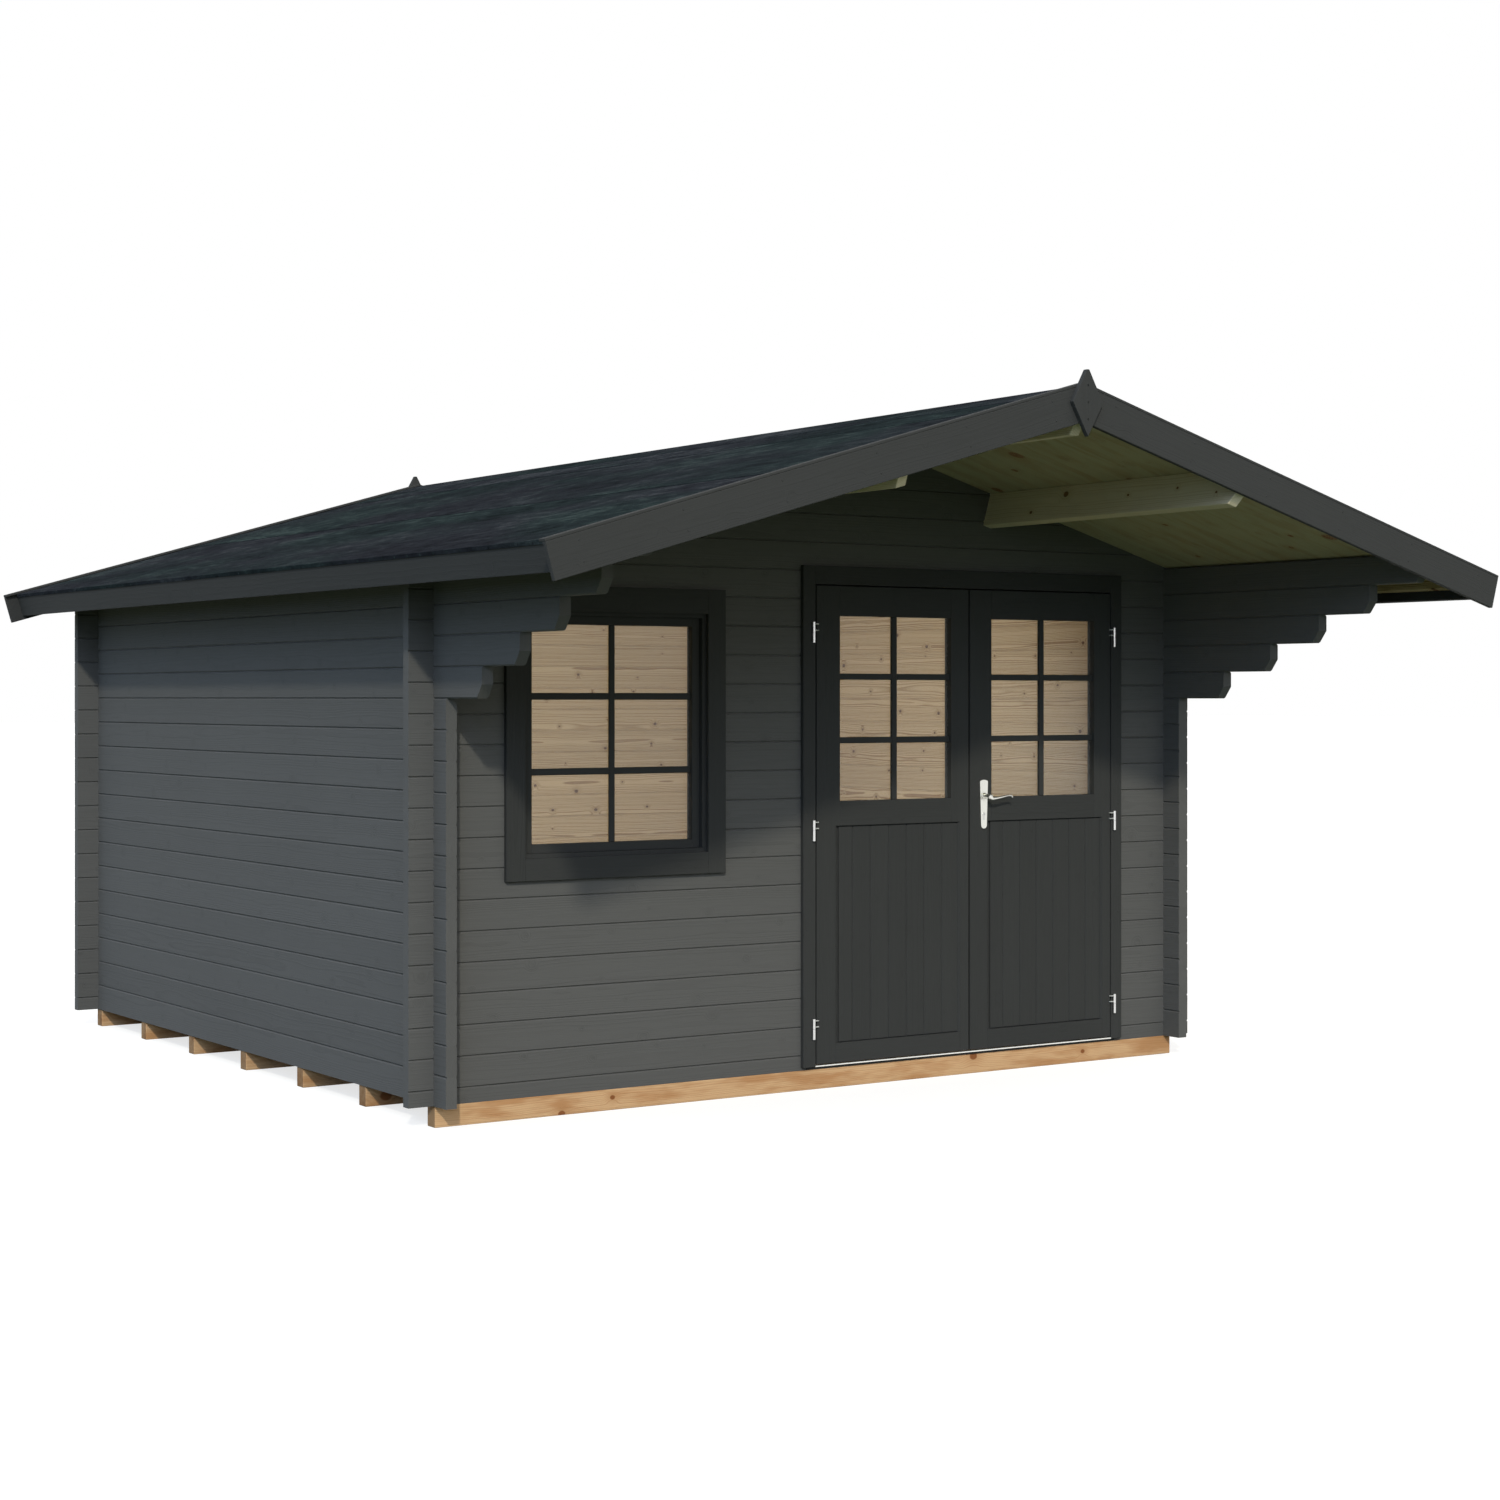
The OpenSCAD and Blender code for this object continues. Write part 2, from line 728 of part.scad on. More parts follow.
module door_lever() {
    outer = leaf_y - lever_out;
    inner = leaf_y + leaf_t + lever_out - lever_t;
    clear = plate_t + spindle_play;
    color("silver") in_place() {
        grip(outer);
        grip(inner);
        along_handle(outer, inner - outer + lever_t)
            cylinder(h = inner - outer + lever_t, r = spindle_r, $fn = 48);
        along_handle(outer, lever_out - clear) cylinder(h = lever_out - clear, r = neck_r, $fn = 48);
        along_handle(leaf_y + leaf_t + clear, lever_out - clear)
            cylinder(h = lever_out - clear, r = neck_r, $fn = 48);
    }
}

module handle_plate_outer() color("silver") in_place() plate(leaf_y - plate_t);
module handle_plate_inner() color("silver") in_place() plate(leaf_y + leaf_t);

left_wall();
right_wall();
corbels_left();
corbels_right();
front_wall_left();
front_wall_right();
front_gable();
rear_wall();
ridge_purlin();
purlin_left();
purlin_right();
roof_boards_left();
roof_boards_right();
roof_felt_left();
roof_felt_right();
barge_front_left();
barge_front_right();
barge_rear_left();
barge_rear_right();
finial_front();
finial_rear();
fascia_left();
fascia_right();
bearers();
floor_boards();
window_trim_boards();
window_frame();
window_sash();
window_glass();
door_trim_boards();
door_frame();
door_threshold();
door_leaf_left();
door_leaf_right();
door_panel_left();
door_panel_right();
door_glass_left();
door_glass_right();
hinge_posts();
hinge_knuckles_left();
hinge_knuckles_right();
handle_plate_outer();
handle_plate_inner();
door_lever();
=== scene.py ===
import math

import bmesh
import bpy
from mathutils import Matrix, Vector


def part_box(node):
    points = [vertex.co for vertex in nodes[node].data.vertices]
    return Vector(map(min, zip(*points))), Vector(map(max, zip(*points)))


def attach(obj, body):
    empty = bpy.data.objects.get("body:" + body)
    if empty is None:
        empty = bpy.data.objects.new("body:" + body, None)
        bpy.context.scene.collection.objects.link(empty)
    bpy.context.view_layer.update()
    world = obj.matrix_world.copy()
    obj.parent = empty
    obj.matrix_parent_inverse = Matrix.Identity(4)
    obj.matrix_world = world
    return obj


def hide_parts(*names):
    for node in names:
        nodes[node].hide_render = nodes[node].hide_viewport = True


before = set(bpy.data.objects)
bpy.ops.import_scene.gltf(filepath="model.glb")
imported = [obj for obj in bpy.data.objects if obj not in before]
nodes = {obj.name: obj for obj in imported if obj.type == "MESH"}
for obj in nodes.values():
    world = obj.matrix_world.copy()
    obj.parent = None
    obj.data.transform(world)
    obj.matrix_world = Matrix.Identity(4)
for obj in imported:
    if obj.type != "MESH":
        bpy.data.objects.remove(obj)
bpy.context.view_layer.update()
print("frame:", len(nodes), "nodes")

# sizes of the cabin that its boxes don't give, in metres
cabin = {
    "logHeight": 0.114,
    "logThick": 0.044,
    "bearerHeight": 0.080,
    "pitch": math.radians(16.1),
    "deckThick": 0.019,
    "sashWide": 0.033,  # side pieces of the window's sash
    "frameShow": 0.016,  # frame that shows round the sash
    "trimThick": 0.020,
    "edge": 0.0015,  # rounding of planed edges
}


class Wire:  # an output socket, so that sums on a surface are written as sums
    def __init__(self, net, socket):
        self.net = net
        self.socket = socket

    def other(self, name):
        return Wire(self.net, self.socket.node.outputs[name])

    def __add__(self, value):
        return self.net.math("ADD", self, value)

    def __radd__(self, value):
        return self.net.math("ADD", value, self)

    def __sub__(self, value):
        return self.net.math("SUBTRACT", self, value)

    def __rsub__(self, value):
        return self.net.math("SUBTRACT", value, self)

    def __mul__(self, value):
        return self.net.math("MULTIPLY", self, value)

    def __rmul__(self, value):
        return self.net.math("MULTIPLY", value, self)

    def __truediv__(self, value):
        return self.net.math("DIVIDE", self, value)

    def __rtruediv__(self, value):
        return self.net.math("DIVIDE", value, self)

    def __pow__(self, value):
        return self.net.math("POWER", self, value)

    def __gt__(self, value):
        return self.net.math("GREATER_THAN", self, value)

    def __lt__(self, value):
        return self.net.math("LESS_THAN", self, value)

    def floor(self):
        return self.net.math("FLOOR", self)

    def fract(self):
        return self.net.math("FRACT", self)

    def abs(self):
        return self.net.math("ABSOLUTE", self)

    def root(self):
        return self.net.math("SQRT", self)


class Net:  # one node tree of a material or of Geometry Nodes
    def __init__(self, tree):
        self.tree = tree

    def add(self, kind, settings=None, sockets=None, out=0):
        node = self.tree.nodes.new(kind)
        for name, value in (settings or {}).items():
            if name == "stops":
                self.setStops(node.color_ramp, value)
            else:
                setattr(node, name, value)
        for name, value in (sockets or {}).items():
            if isinstance(value, Wire):
                self.tree.links.new(value.socket, node.inputs[name])
            else:
                node.inputs[name].default_value = value
        return Wire(self, node.outputs[out] if node.outputs else None)

    def setStops(self, ramp, stops):
        while len(ramp.elements) < len(stops):
            ramp.elements.new(0.5)
        for element, (place, colour) in zip(ramp.elements, stops):
            element.position = place
            element.color = (*colour, 1)

    def math(self, operation, *values):
        return self.add("ShaderNodeMath", {"operation": operation}, dict(enumerate(values)))

    def vector(self, x, y, z):
        return self.add("ShaderNodeCombineXYZ", None, {"X": x, "Y": y, "Z": z})

    def mix(self, share, low, high, blend="MIX"):
        ends = [c if isinstance(c, Wire) else (*c, 1) for c in (low, high)]
        settings = {"data_type": "RGBA", "blend_type": blend}
        return self.add("ShaderNodeMix", settings, {0: share, 6: ends[0], 7: ends[1]}, out=2)

    def scaled(self, colour, factor):  # a colour made darker or lighter by a number
        return self.mix(1.0, colour, self.vector(factor, factor, factor), "MULTIPLY")

    def smooth(self, value, low, high):
        return self.add("ShaderNodeMapRange", {"interpolation_type": "SMOOTHSTEP"},
                        {"Value": value, "From Min": low, "From Max": high})

    def noise(self, vector, scale, detail=2.0, rough=0.5):
        return self.add("ShaderNodeTexNoise", None, {
            "Vector": vector, "Scale": scale, "Detail": detail, "Roughness": rough})

    def chance(self, *seeds):  # three even random numbers for one board, knot or shingle
        vector = self.vector(*(list(seeds) + [0.0, 0.0])[:3])
        colour = self.add("ShaderNodeTexWhiteNoise", {"noise_dimensions": "3D"},
                          {"Vector": vector}, out="Color")
        split = self.add("ShaderNodeSeparateColor", None, {"Color": colour})
        return split, split.other("Green"), split.other("Blue")

    def place(self):  # where a point lies on the object
        coords = self.add("ShaderNodeTexCoord", out="Object")
        split = self.add("ShaderNodeSeparateXYZ", None, {"Vector": coords})
        return split, split.other("Y"), split.other("Z")


def newMaterial(name):
    material = bpy.data.materials.new(name)
    material.use_nodes = True
    material.node_tree.nodes.clear()
    return material, Net(material.node_tree)


def finishSurface(net, colour, rough, height=None, relief=0.001, fixed=None):
    sockets = {"Base Color": colour, "Roughness": rough}
    sockets.update(fixed or {})
    if height is not None:
        sockets["Normal"] = net.add("ShaderNodeBump", None, {
            "Height": height, "Distance": relief, "Strength": 1.0})
    shader = net.add("ShaderNodeBsdfPrincipled", None, sockets)
    net.add("ShaderNodeOutputMaterial", None, {"Surface": shader})


# ---- timber ----

growth = {
    "ringGap": 0.0062,  # mean distance between a tree's rings
    "knotStep": 0.29,  # one knot in each such length of board
    "knotSmall": 0.0048,
    "knotBig": 0.0140,
    "boardWide": 0.10,
    "haloReach": 4.2,  # grain is bent round a knot as far as this many times its radius
    "haloPush": 2.2,  # and pushed aside by this many rings
    "wavePush": 2.6,
    "pithAside": 0.11,
    "pithSway": 0.05,
    "pithDeep": 0.022,
}


def woodPattern(net, along, across, deep, board, knotty=1.0, knotSize=1.0, clear=0.0):
    # rings round a pith that wanders beside the board, pushed aside by its knots
    shiftA, shiftB, tone = net.chance(board, 2.7)
    run = along + board * 7.31
    cellPlace = run / growth["knotStep"]
    cell = cellPlace.floor()
    knotA, knotB, knotC = net.chance(cell, board, 5.1)
    alongKnot = (cellPlace - cell - 0.27 - knotA * 0.46) * growth["knotStep"]
    acrossKnot = across - (knotB - 0.5) * (growth["boardWide"] * 0.85)
    spread = growth["knotBig"] - growth["knotSmall"]
    radius = ((knotC ** 2.0) * spread + growth["knotSmall"]) * knotSize
    knotty = (net.chance(cell, board, 3.3)[0] > clear) * knotty  # clear lengths have no knot
    away = (alongKnot * alongKnot * 0.6 + acrossKnot * acrossKnot).root() / radius
    knot = (1.0 - net.smooth(away, 0.75, 1.15)) * knotty
    halo = (1.0 - net.smooth(away, 0.5, growth["haloReach"])) * knotty
    sway = net.noise(net.vector(run * 0.8, board * 3.3, 0.0), 1.0, 1.0)
    wave = net.noise(net.vector(run * 2.2, across * 16.0, deep * 16.0 + board), 1.0, 2.0)
    pithAcross = across + (shiftA - 0.5) * growth["pithAside"] + (sway - 0.5) * growth["pithSway"]
    pithDeep = deep + shiftB * growth["pithSway"] + growth["pithDeep"]
    distance = (pithAcross * pithAcross + pithDeep * pithDeep).root()
    years = (distance / growth["ringGap"] + halo * growth["haloPush"]
             + (wave - 0.5) * growth["wavePush"])
    rings = years.fract()
    dry = net.chance(years.floor(), board, 9.4)[0]  # a darker line in some years than in others
    late = (net.smooth(rings, 0.40, 0.90) - net.smooth(rings, 0.93, 1.0)) * (0.35 + dry)
    cloudPlace = net.vector(run * 3.0, across * 14.0, deep * 14.0 + board * 2.0)
    cloud = net.noise(cloudPlace, 1.0, 3.0, 0.6)
    fibrePlace = net.vector(run * 9.0, across * 420.0, deep * 420.0 + board * 5.0)
    fibre = net.noise(fibrePlace, 1.0, 3.0, 0.6)
    return {"late": late, "fibre": fibre, "knot": knot, "halo": halo, "tone": tone,
            "cloud": cloud}


def bareTimber(net, wood, early, late, heart, contrast=0.75, marble=0.15, spread=0.12):
    tint = net.mix(wood["late"] * contrast, early, late)
    tint = net.mix(net.smooth(wood["cloud"], 0.44, 0.66) * marble, tint, late)
    tint = net.scaled(tint, 0.98 + (wood["tone"] - 0.5) * spread + (wood["fibre"] - 0.5) * 0.24)
    tint = net.mix(wood["halo"] * 0.40, tint, late)
    return net.mix(wood["knot"], tint, heart)


def paintedTimber(net, wood, paint, patch):
    shade = (0.965 + wood["tone"] * 0.07 + (wood["fibre"] - 0.5) * 0.16
             - wood["late"] * 0.045 - wood["halo"] * 0.05 + (patch - 0.5) * 0.10)
    return net.scaled(paint, shade)


def timberRelief(wood, painted):
    depth = 0.45 if painted else 0.7
    return wood["late"] * depth + (wood["fibre"] - 0.5) * 0.8 - wood["knot"] * 0.5


paints = {
    "wall": (0.107, 0.105, 0.103),
    "trim": (0.0462, 0.0468, 0.0464),
    "sheen": 0.008,
}
pines = {
    "inside": {"early": (0.590, 0.470, 0.300), "late": (0.32, 0.205, 0.100),
               "heart": (0.13, 0.066, 0.033), "marble": 0.03, "contrast": 1.15},
    # the roof boards: their own grain and knots, with the pine drawn darker and greener than the
    # inside pine as painted shade from under the eaves
    "deck": {"early": (0.41, 0.385, 0.250), "late": (0.30, 0.220, 0.118),
             "heart": (0.17, 0.065, 0.028), "marble": 0.45, "spread": 0.04, "contrast": 0.45},
    "purlin": {"early": (0.64, 0.570, 0.420), "late": (0.51, 0.420, 0.270),
               "heart": (0.20, 0.110, 0.055)},
    "bearer": {"early": (0.60, 0.378, 0.208), "late": (0.40, 0.187, 0.074),
               "heart": (0.24, 0.090, 0.034), "marble": 0.70, "contrast": 0.35},
    "sheen": 0.05,
    "endGrain": 0.51,  # how much of its colour cut end grain keeps
}


def makeWallMaterial(name, lengthwise, firstLog):
    # painted outside and bare inside; the logs run along X or Y
    material, net = newMaterial(name)
    x, y, z = net.place()
    course = ((z - firstLog) / cabin["logHeight"]).floor()
    middle = z - firstLog - (course + 0.5) * cabin["logHeight"]
    along, out = (x, y) if lengthwise == "x" else (y, x)
    side = (out > 0.0) * 31.0
    centre, half = wallPlane[lengthwise]
    deep = (out - centre).abs() - half
    board = course + side + (40.0 if lengthwise == "x" else 0.0)
    wood = woodPattern(net, along, middle, deep, board, knotSize=0.68, clear=0.25)
    patch = net.noise(net.vector(x, y, z), 1.3, 3.0)
    painted = paintedTimber(net, wood, paints["wall"], patch)
    bare = bareTimber(net, wood, **pines["inside"])
    inside = (x.abs() < inner["halfWide"]) * (y > inner["front"]) * (y < inner["back"])
    colour = net.mix(inside, painted, bare)
    rough = 0.62 + inside * 0.06 + (wood["fibre"] - 0.5) * 0.15
    finishSurface(net, colour, rough, timberRelief(wood, True), 0.0006,
                  {"Specular IOR Level": paints["sheen"]})
    return material


def makeBoardMaterial(name, finish, painted=True, lengthwise=None, pitch=None, start=0.0, ends=None,
                      level=None, knotSize=1.0, clear=0.0):
    # by each board's own grain, or by place where boards follow on at one pitch; level is the
    # height of those on edge
    material, net = newMaterial(name)
    x, y, z = net.place()
    if lengthwise is None:
        grain = net.add("ShaderNodeAttribute", {"attribute_name": "grain"}, out="Vector")
        split = net.add("ShaderNodeSeparateXYZ", None, {"Vector": grain})
        along, across, deep = split, split.other("Y"), split.other("Z")
        board = net.add("ShaderNodeAttribute", {"attribute_name": "board"}, out="Fac")
    else:
        axes = {"x": x, "y": y, "z": z}
        along, across, deep = (axes[a] for a in lengthwise)
        board = ((across - start) / pitch).floor()
        across = across - start - (board + 0.5) * pitch
        if level is not None:
            across, deep = deep - level, across
    wood = woodPattern(net, along, across, deep, board, 0.5 if painted else 1.0, knotSize, clear)
    if painted:
        patch = net.noise(net.vector(x, y, z), 1.7, 3.0)
        colour = paintedTimber(net, wood, finish, patch)
    else:
        colour = bareTimber(net, wood, **finish)
    if ends:
        cutEnd = along.abs() > ends
        colour = net.scaled(colour, 1.0 - cutEnd * (1.0 - pines["endGrain"]))
    rough = (0.55 if painted else 0.66) + (wood["fibre"] - 0.5) * 0.2
    finishSurface(net, colour, rough, timberRelief(wood, painted), 0.0005,
                  {"Specular IOR Level": paints["sheen"] if painted else pines["sheen"]})
    return material


felt = {
    "patch": 3.1,  # how many weathered patches lie in a metre down the slope
    "drawn": 0.38,  # and how few of them lie in a metre along it
    "warm": (1.05, 0.97, 1.04),
    "mossy": (0.89, 1.045, 0.985),
    "grit": 480.0,
    "sheen": 0.0,
    "stops": [(0.36, (0.0100, 0.0118, 0.0132)), (0.45, (0.0180, 0.0206, 0.0236)),
              (0.53, (0.0230, 0.0280, 0.0305)), (0.63, (0.0470, 0.0545, 0.0565))],
}


def makeFeltMaterial():
    material, net = newMaterial("mineralFelt")
    x, y, z = net.place()
    spot = net.vector(x, y, z)
    strip = net.add("ShaderNodeAttribute", {"attribute_name": "board"}, out="Fac")
    tone, shift = net.chance(strip, 8.3)[:2]
    drift = net.vector(x + shift * 3.0, y * felt["drawn"] + tone * 5.0, z)
    cloud = net.noise(drift, felt["patch"], 3.0, 0.55)
    speck = net.noise(drift, felt["patch"] * 7.0, 4.0, 0.7)
    grit = net.noise(spot, felt["grit"], 1.0)
    grains = net.add("ShaderNodeTexVoronoi", {"feature": "F1"},
                     {"Vector": spot, "Scale": felt["grit"] * 1.2}, out="Color")
    lot = net.add("ShaderNodeSeparateColor", None, {"Color": grains})
    ground = net.add("ShaderNodeValToRGB", {"stops": felt["stops"]},
                     {"Fac": cloud * 0.42 + speck * 0.58})
    moss = net.smooth(net.noise(drift, felt["patch"] * 0.6, 2.0), 0.42, 0.60)
    ground = net.mix(1.0, ground, net.mix(moss, felt["warm"], felt["mossy"]), "MULTIPLY")
    colour = net.scaled(ground, 0.76 + lot * 0.46 + tone * 0.06)
    finishSurface(net, colour, 0.86 + grit * 0.1, grit + lot * 0.6, 0.0011,
                  {"Specular IOR Level": felt["sheen"]})
    return material


metals = {  # colour, roughness and how strongly it is brushed
    "threshold": ((0.90, 0.90, 0.86), 0.5, 0.2),
    "lock": ((0.62, 0.62, 0.60), 0.32, 0.15),
    "satin": ((0.71, 0.71, 0.66), 0.30, 0.15),
    "nail": ((0.30, 0.30, 0.30), 0.45, 0.1),
    "brushFine": 2600.0,  # brush lines in a metre across them
    "brushLong": 60.0,  # and along them
    "marks": 60.0,
}
hinge = {
    "colour": (0.66, 0.66, 0.65),
    "arm": (0.46, 0.46, 0.45),
    "rough": 0.30,
    "pinIn": 0.019,  # pins stand this far in from the leaves' edges
    "radius": 0.0065,
    "barrel": 0.0069,  # what lies further than this from a pin is an arm
}


def makeMetalMaterial(name, colour, rough, brushed):
    # brushed along Z, with finger marks
    material, net = newMaterial(name)
    x, y, z = net.place()
    fine = metals["brushFine"]
    brush = net.noise(net.vector(x * fine, y * fine, z * metals["brushLong"]), 1.0, 2.0)
    marks = net.noise(net.vector(x, y, z), metals["marks"], 3.0)
    tint = net.scaled(colour, 0.93 + brush * 0.1 + (marks - 0.5) * 0.06)
    finishSurface(net, tint, rough + (marks - 0.5) * 0.12 + (brush - 0.5) * brushed, brush, 0.00004,
                  {"Metallic": 1.0})
    return material


def makeHingeMaterial(name):
    # bright barrels with dull arms, told apart by how far a point is from its pin
    material, net = newMaterial(name)
    x, y, z = net.place()
    pins = [corner[0] for corner in hingePins]
    middle, half = sum(pins) / 2, (pins[1] - pins[0]) / 2
    aside = (x - middle).abs() - half
    out = y - hingePins[0][1]
    isArm = (aside * aside + out * out).root() > hinge["barrel"]
    marks = net.noise(net.vector(x, y, z), metals["marks"], 3.0)
    tint = net.scaled(net.mix(isArm, hinge["colour"], hinge["arm"]), 0.94 + marks * 0.12)
    finishSurface(net, tint, hinge["rough"] + isArm * 0.25 + (marks - 0.5) * 0.12, None, 0.0,
                  {"Metallic": 1.0 - isArm, "Specular IOR Level": 0.05})
    return material


def makeSlotShadeMaterial():
    # near black with fine flecks: painted shade for the key's slot and for the holes of the lock's
    # keep
    material, net = newMaterial("keySlot")
    x, y, z = net.place()
    shadeFlecks = net.noise(net.vector(x, y, z), 900.0, 2.0)
    finishSurface(net, net.scaled((0.02, 0.02, 0.02), 0.7 + shadeFlecks * 0.6), 0.6)
    return material


pane = {
    "tint": (0.97, 0.99, 0.985, 1),
    "clear": (0.95, 0.97, 0.96, 1),  # what a pane lets through of the lamps' light
    "sheen": 0.78,
    "film": 0.14,  # how much the sheen changes over a pane
    "soft": 0.45,
    "coat": 1.6,
}


def makeGlassMaterial():
    # clear panes that lamps reach through, with a soft sheen
    material, net = newMaterial("paneGlass")
    x, y, z = net.place()
    film = net.noise(net.vector(x, y, z), 3.0, 3.0)
    glass = net.add("ShaderNodeBsdfPrincipled", None, {
        "Base Color": pane["tint"], "Roughness": 0.0, "Transmission Weight": 1.0, "IOR": 1.0,
        "Coat Weight": pane["sheen"] + film * pane["film"], "Coat Roughness": pane["soft"],
        "Coat IOR": pane["coat"]})
    clear = net.add("ShaderNodeBsdfTransparent", None, {"Color": pane["clear"]})
    path = net.add("ShaderNodeLightPath", out="Is Shadow Ray")
    through = net.math("MAXIMUM", path, path.other("Is Diffuse Ray"))
    both = net.add("ShaderNodeMixShader", None, {0: through, 1: glass, 2: clear})
    net.add("ShaderNodeOutputMaterial", None, {"Surface": both})
    return material


# ---- pieces made of boards ----


class Boards:  # a mesh of planed boards, numbered from its seed, each with its own grain
    def __init__(self, seed=0):
        self.mesh = bmesh.new()
        self.grain = self.mesh.verts.layers.float_vector.new("grain")
        self.board = self.mesh.verts.layers.float.new("board")
        self.count = seed

    def prism(self, outline, plane, low, high, along):
        # an outline in two axes, extruded along the third; along is the way the grain runs
        third = ({"x", "y", "z"} - set(plane)).pop()
        rings = []
        for level in (low, high):
            places = [{plane[0]: a, plane[1]: b, third: level} for a, b in outline]
            rings.append([(p["x"], p["y"], p["z"]) for p in places])
        self.loft(rings, along)

    def loft(self, rings, along):
        # a closed skin over rings of points, with a cap at each end
        rows = [[self.mesh.verts.new(point) for point in ring] for ring in rings]
        faces = [self.mesh.faces.new(rows[0]), self.mesh.faces.new(rows[-1][::-1])]
        n = len(rows[0])
        for first, second in zip(rows, rows[1:]):
            for i in range(n):
                j = (i + 1) % n
                faces.append(self.mesh.faces.new((first[j], first[i], second[i], second[j])))
        bmesh.ops.recalc_face_normals(self.mesh, faces=faces)
        self.setGrain([vert for row in rows for vert in row], along)

    def setGrain(self, verts, along):
        middle = sum((v.co for v in verts), Vector()) / len(verts)
        along = Vector(along).normalized()
        spans = []
        for axis in (Vector((1, 0, 0)), Vector((0, 1, 0)), Vector((0, 0, 1))):
            side = axis - along * axis.dot(along)
            if side.length > 0.5:
                side.normalize()
                reach = [side.dot(v.co) for v in verts]
                spans.append((max(reach) - min(reach), side))
        across = max(spans, key=lambda s: s[0])[1]
        deep = along.cross(across)
        for v in verts:
            away = v.co - middle
            v[self.grain] = (away.dot(along), away.dot(across), away.dot(deep))
            v[self.board] = self.count
        self.count += 1

    def box(self, low, high, along=None):
        size = [high[i] - low[i] for i in range(3)]
        if along is None:
            along = [0, 0, 0]
            along[size.index(max(size))] = 1
        outline = [(low[0], low[1]), (high[0], low[1]), (high[0], high[1]), (low[0], high[1])]
        self.prism(outline, "xy", low[2], high[2], along)

    def ring(self, outer, inner, front, back, foot=True):
        # four boards round an opening, the sides at full height; both are (x0, x1, z0, z1)
        ox0, ox1, oz0, oz1 = outer
        ix0, ix1, iz0, iz1 = inner
        self.box((ox0, front, oz0), (ix0, back, oz1))
        self.box((ix1, front, oz0), (ox1, back, oz1))
        self.box((ix0, front, iz1), (ix1, back, oz1))
        if foot:
            self.box((ix0, front, oz0), (ix1, back, iz0))


def planeEdges(piece, width, angle):
    bevel = piece.modifiers.new("planed edges", "BEVEL")
    bevel.width = width
    bevel.segments = 2
    bevel.limit_method = "ANGLE"
    bevel.angle_limit = math.radians(angle)


def makePiece(name, boards, material, body, replaced=(), edge=None):
    mesh = bpy.data.meshes.new(name)
    boards.mesh.to_mesh(mesh)
    boards.mesh.free()
    mesh.materials.append(material)
    piece = bpy.data.objects.new(name, mesh)
    bpy.context.scene.collection.objects.link(piece)
    if edge:
        planeEdges(piece, edge, 40)
    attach(piece, body)
    if replaced:
        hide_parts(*replaced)
    return piece


def sides(node):  # x0, x1, z0, z1 of a CAD node
    low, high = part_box(node)
    return low[0], high[0], low[2], high[2]


def depth(node):  # its front and back in Y
    low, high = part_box(node)
    return low[1], high[1]


def inset(ring, by):
    return ring[0] + by, ring[1] - by, ring[2] + by, ring[3] - by


# ---- places that the materials need ----

wallFront, wallBack = depth("front_wall_left")[0], depth("rear_wall")[1]
inner = {
    "halfWide": 1.778,
    "front": wallFront + cabin["logThick"] / 2,
    "back": wallBack - cabin["logThick"] / 2,
}

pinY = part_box("hinge_posts")[0][1] + hinge["radius"]
hingePins = [(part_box("door_leaf_left")[0][0] - hinge["pinIn"], pinY),
             (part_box("door_leaf_right")[1][0] + hinge["pinIn"], pinY)]
wallPlane = {  # middle of the house and distance of the walls' middles from it
    "x": ((wallFront + wallBack) / 2, (wallBack - wallFront - cabin["logThick"]) / 2),
    "y": (0.0, inner["halfWide"]),
}
timberRows = {  # how far apart timbers lie, where the rows start, how long and how high they are
    "purlins": {"pitch": 0.787, "start": -1.1805, "ends": 2.6415, "level": 2.35},
    "bearers": {"pitch": 0.587, "start": -1.424, "ends": 1.794, "level": 0.04},
    "sloped": {"pitch": 0.9, "start": 1.5},
    "upright": {"pitch": 0.5, "start": -3.0},
}
materials = {
    "sideLogs": makeWallMaterial("sideLogs", "y", cabin["bearerHeight"]),
    "crossLogs": makeWallMaterial("crossLogs", "x", cabin["bearerHeight"] - cabin["logHeight"] / 2),
    "trimPaint": makeBoardMaterial("trimPaint", paints["trim"]),
    "barePine": makeBoardMaterial("barePine", pines["inside"], painted=False),
    "deckPineWithPaintedShade": makeBoardMaterial("deckPineWithPaintedShade", pines["deck"], False, knotSize=2.3, clear=0.72),
    "purlinPine": makeBoardMaterial("purlinPine", pines["purlin"], False, "yxz",
                                    **timberRows["purlins"]),
    "bearerPine": makeBoardMaterial("bearerPine", pines["bearer"], False, "xyz",
                                    **timberRows["bearers"], knotSize=1.5, clear=0.6),
    "slopedPaint": makeBoardMaterial("slopedPaint", paints["trim"], True, "yzx",
                                     **timberRows["sloped"]),
    "uprightPaint": makeBoardMaterial("uprightPaint", paints["trim"], True, "zxy",
                                      **timberRows["upright"]),
    "felt": makeFeltMaterial(),
    "glass": makeGlassMaterial(),
    "threshold": makeMetalMaterial("thresholdMetal", *metals["threshold"]),
    "hinge": makeHingeMaterial("hingeMetal"),
    "lock": makeMetalMaterial("lockMetal", *metals["lock"]),
    "handle": makeMetalMaterial("satinMetal", *metals["satin"]),
    "nail": makeMetalMaterial("nailMetal", *metals["nail"]),
    "keySlot": makeSlotShadeMaterial(),
}
print("materials:", len(materials))

